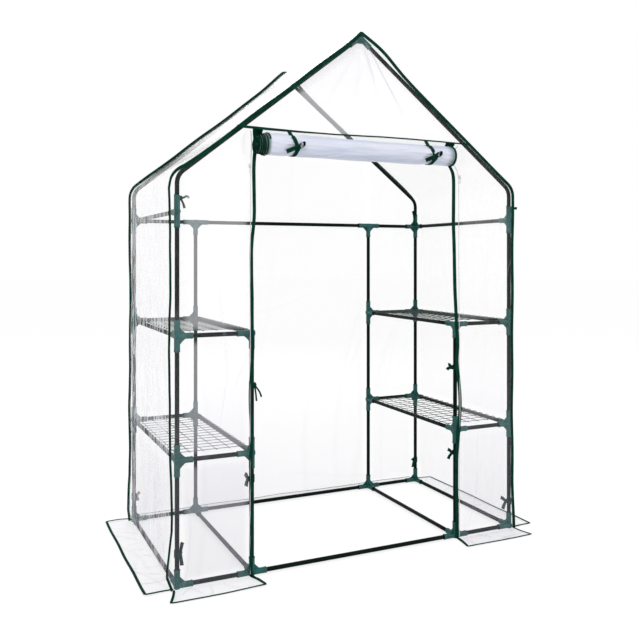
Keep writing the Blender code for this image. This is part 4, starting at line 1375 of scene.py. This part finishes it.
def addBow(name, x, y, z, way, angles, size, seed, share, look):
    # ribbon twice round the tube, a knot, two broad tails and a small folded loop
    draw = np.random.default_rng(200 + seed)
    out = unit(np.array([way[0], way[1], 0.0]))
    up = np.array([0, 0, 1.0])
    toward = unit(np.array([-0.42, -0.9, 0.0])) * 0.6      # flat side of the tails
    post = np.array([x, y, z])
    turn = np.linspace(0, 4 * math.pi, 90)
    r = tubeRadius + look["stand"] + 0.0006
    first = math.atan2(out[1], out[0])
    ring = post + np.stack([r * np.cos(turn + first), r * np.sin(turn + first),
                            0.006 * np.sin(turn * 0.5)], 1)
    parts = [sweep(ring, tapeSection(*look["ribbon"]), up)]
    knot = post + out * (r + 0.004)
    parts.append(knotShape(knot, look["knot"], seed, (0.9, 0.9, 1.1)))
    length = 4 * math.pi * r
    for angle in angles:
        tilt = math.radians(angle)
        flow = out * math.cos(tilt) + up * math.sin(tilt)
        bend = draw.uniform(-0.2, 0.2)
        points = [knot, knot + flow * size * 0.35 + toward * 0.004,
                  knot + flow * size * 0.7 + toward * 0.005 + up * bend * size * 0.3,
                  knot + flow * size - up * size * 0.16 + toward * 0.003]
        path = curveThrough(points, 22)
        wide = np.cross(flow, toward)
        twist = np.linspace(0, draw.uniform(-0.7, 0.7), 22)[:, None]
        wide = wide * np.cos(twist) + toward * np.sin(twist)
        parts.append(sweep(path, tapeSection(*look["ribbon"]), wide, share * np.linspace(0.72, 1, 22)))
        length += np.linalg.norm(np.diff(path, axis=0), axis=1).sum()
    tilt = math.radians(draw.uniform(-15, 25))
    flow = -out * math.cos(tilt) + up * math.sin(tilt)
    reach = draw.uniform(0.014, 0.020)
    side = np.cross(flow, toward)
    base = knot + toward * 0.006
    points = [base, base + flow * reach * 0.6 + side * 0.006, base + flow * reach,
              base + flow * reach * 0.6 - side * 0.006, base]
    path = curveThrough(points, 30)
    parts.append(sweep(path, tapeSection(*look["ribbon"]), toward, np.full(30, 0.6)))
    length += 0.6 * np.linalg.norm(np.diff(path, axis=0), axis=1).sum()
    piece = addPiece(f"ribbon_{name}", joinParts(parts), tapePaint)


for place in bowPlaces:
    addBow(*place, bowLook)
print("stage: bows made")


# ---- each end sheet's tapes and cut area, worked out and not used
def declareCover():
    for word in ("back", "gable", "left", "right"):
        piece, cut, share = endSheets[word]
        taped = [seams["header"]] if word == "gable" else []
        taped += [seams[f"door_{word}"]] if word in sideSign else []
        cut[0] * cut[1] * share


declareCover()


# ---- floor and light
lightLook = {
    "world": (1.0, 1.0, 1.0), "worldStrength": 1.0, "floorGlow": 0.73,
    "lamps": [  # name, place, aimed at, size, watts
        ("key", (-3.2, -4.2, 4.6), (0, 0, 1.0), 2.4, 120.0),
        ("fill", (4.2, -2.4, 3.0), (0, 0, 0.9), 2.4, 50.0),
        ("back", (0.8, 4.4, 4.2), (0, 0, 1.2), 2.4, 70.0),
    ],
}


def makeStage(look):
    world = bpy.data.worlds.new("studio")
    world.use_nodes = True
    shade = world.node_tree.nodes["Background"]
    shade.inputs["Color"].default_value = (*look["world"], 1)
    shade.inputs["Strength"].default_value = look["worldStrength"]
    bpy.context.scene.world = world
    bpy.context.scene.view_settings.view_transform = "Standard"
    for name, place, aim, size, watts in look["lamps"]:
        data = bpy.data.lights.new(name, "AREA")
        data.size, data.energy = size, watts
        lamp = bpy.data.objects.new(name, data)
        lamp.location = place
        lamp.rotation_euler = (Vector(aim) - Vector(place)).to_track_quat("-Z", "Y").to_euler()
        bpy.context.scene.collection.objects.link(lamp)
    turn = np.linspace(0, 2 * math.pi, 96, endpoint=False)
    reach = np.array([0.0001, 4.0, 40.0])
    rings = np.stack([np.outer(reach, np.cos(turn)), np.outer(reach, np.sin(turn)),
                      np.full((3, 96), -0.0006)], -1)
    paint = Paint("paleFloor")
    grain = paint.noise(2.0, 3.0)
    floorPaint = paint.finish(Base_Color=(0.26, 0.26, 0.26), Roughness=grain * 0.05 + 0.75,
                              Specular_IOR_Level=0.0, Emission_Color=(1.0, 1.0, 1.0, 1),
                              Emission_Strength=look["floorGlow"])
    mesh = bpy.data.meshes.new("floor")
    mesh.from_pydata(rings.reshape(-1, 3).tolist(), [], gridQuads(3, 96, True).tolist())
    mesh.materials.append(floorPaint)
    floor = bpy.data.objects.new("floor", mesh)
    bpy.context.scene.collection.objects.link(floor)


makeStage(lightLook)
print("stage: floor and light made")
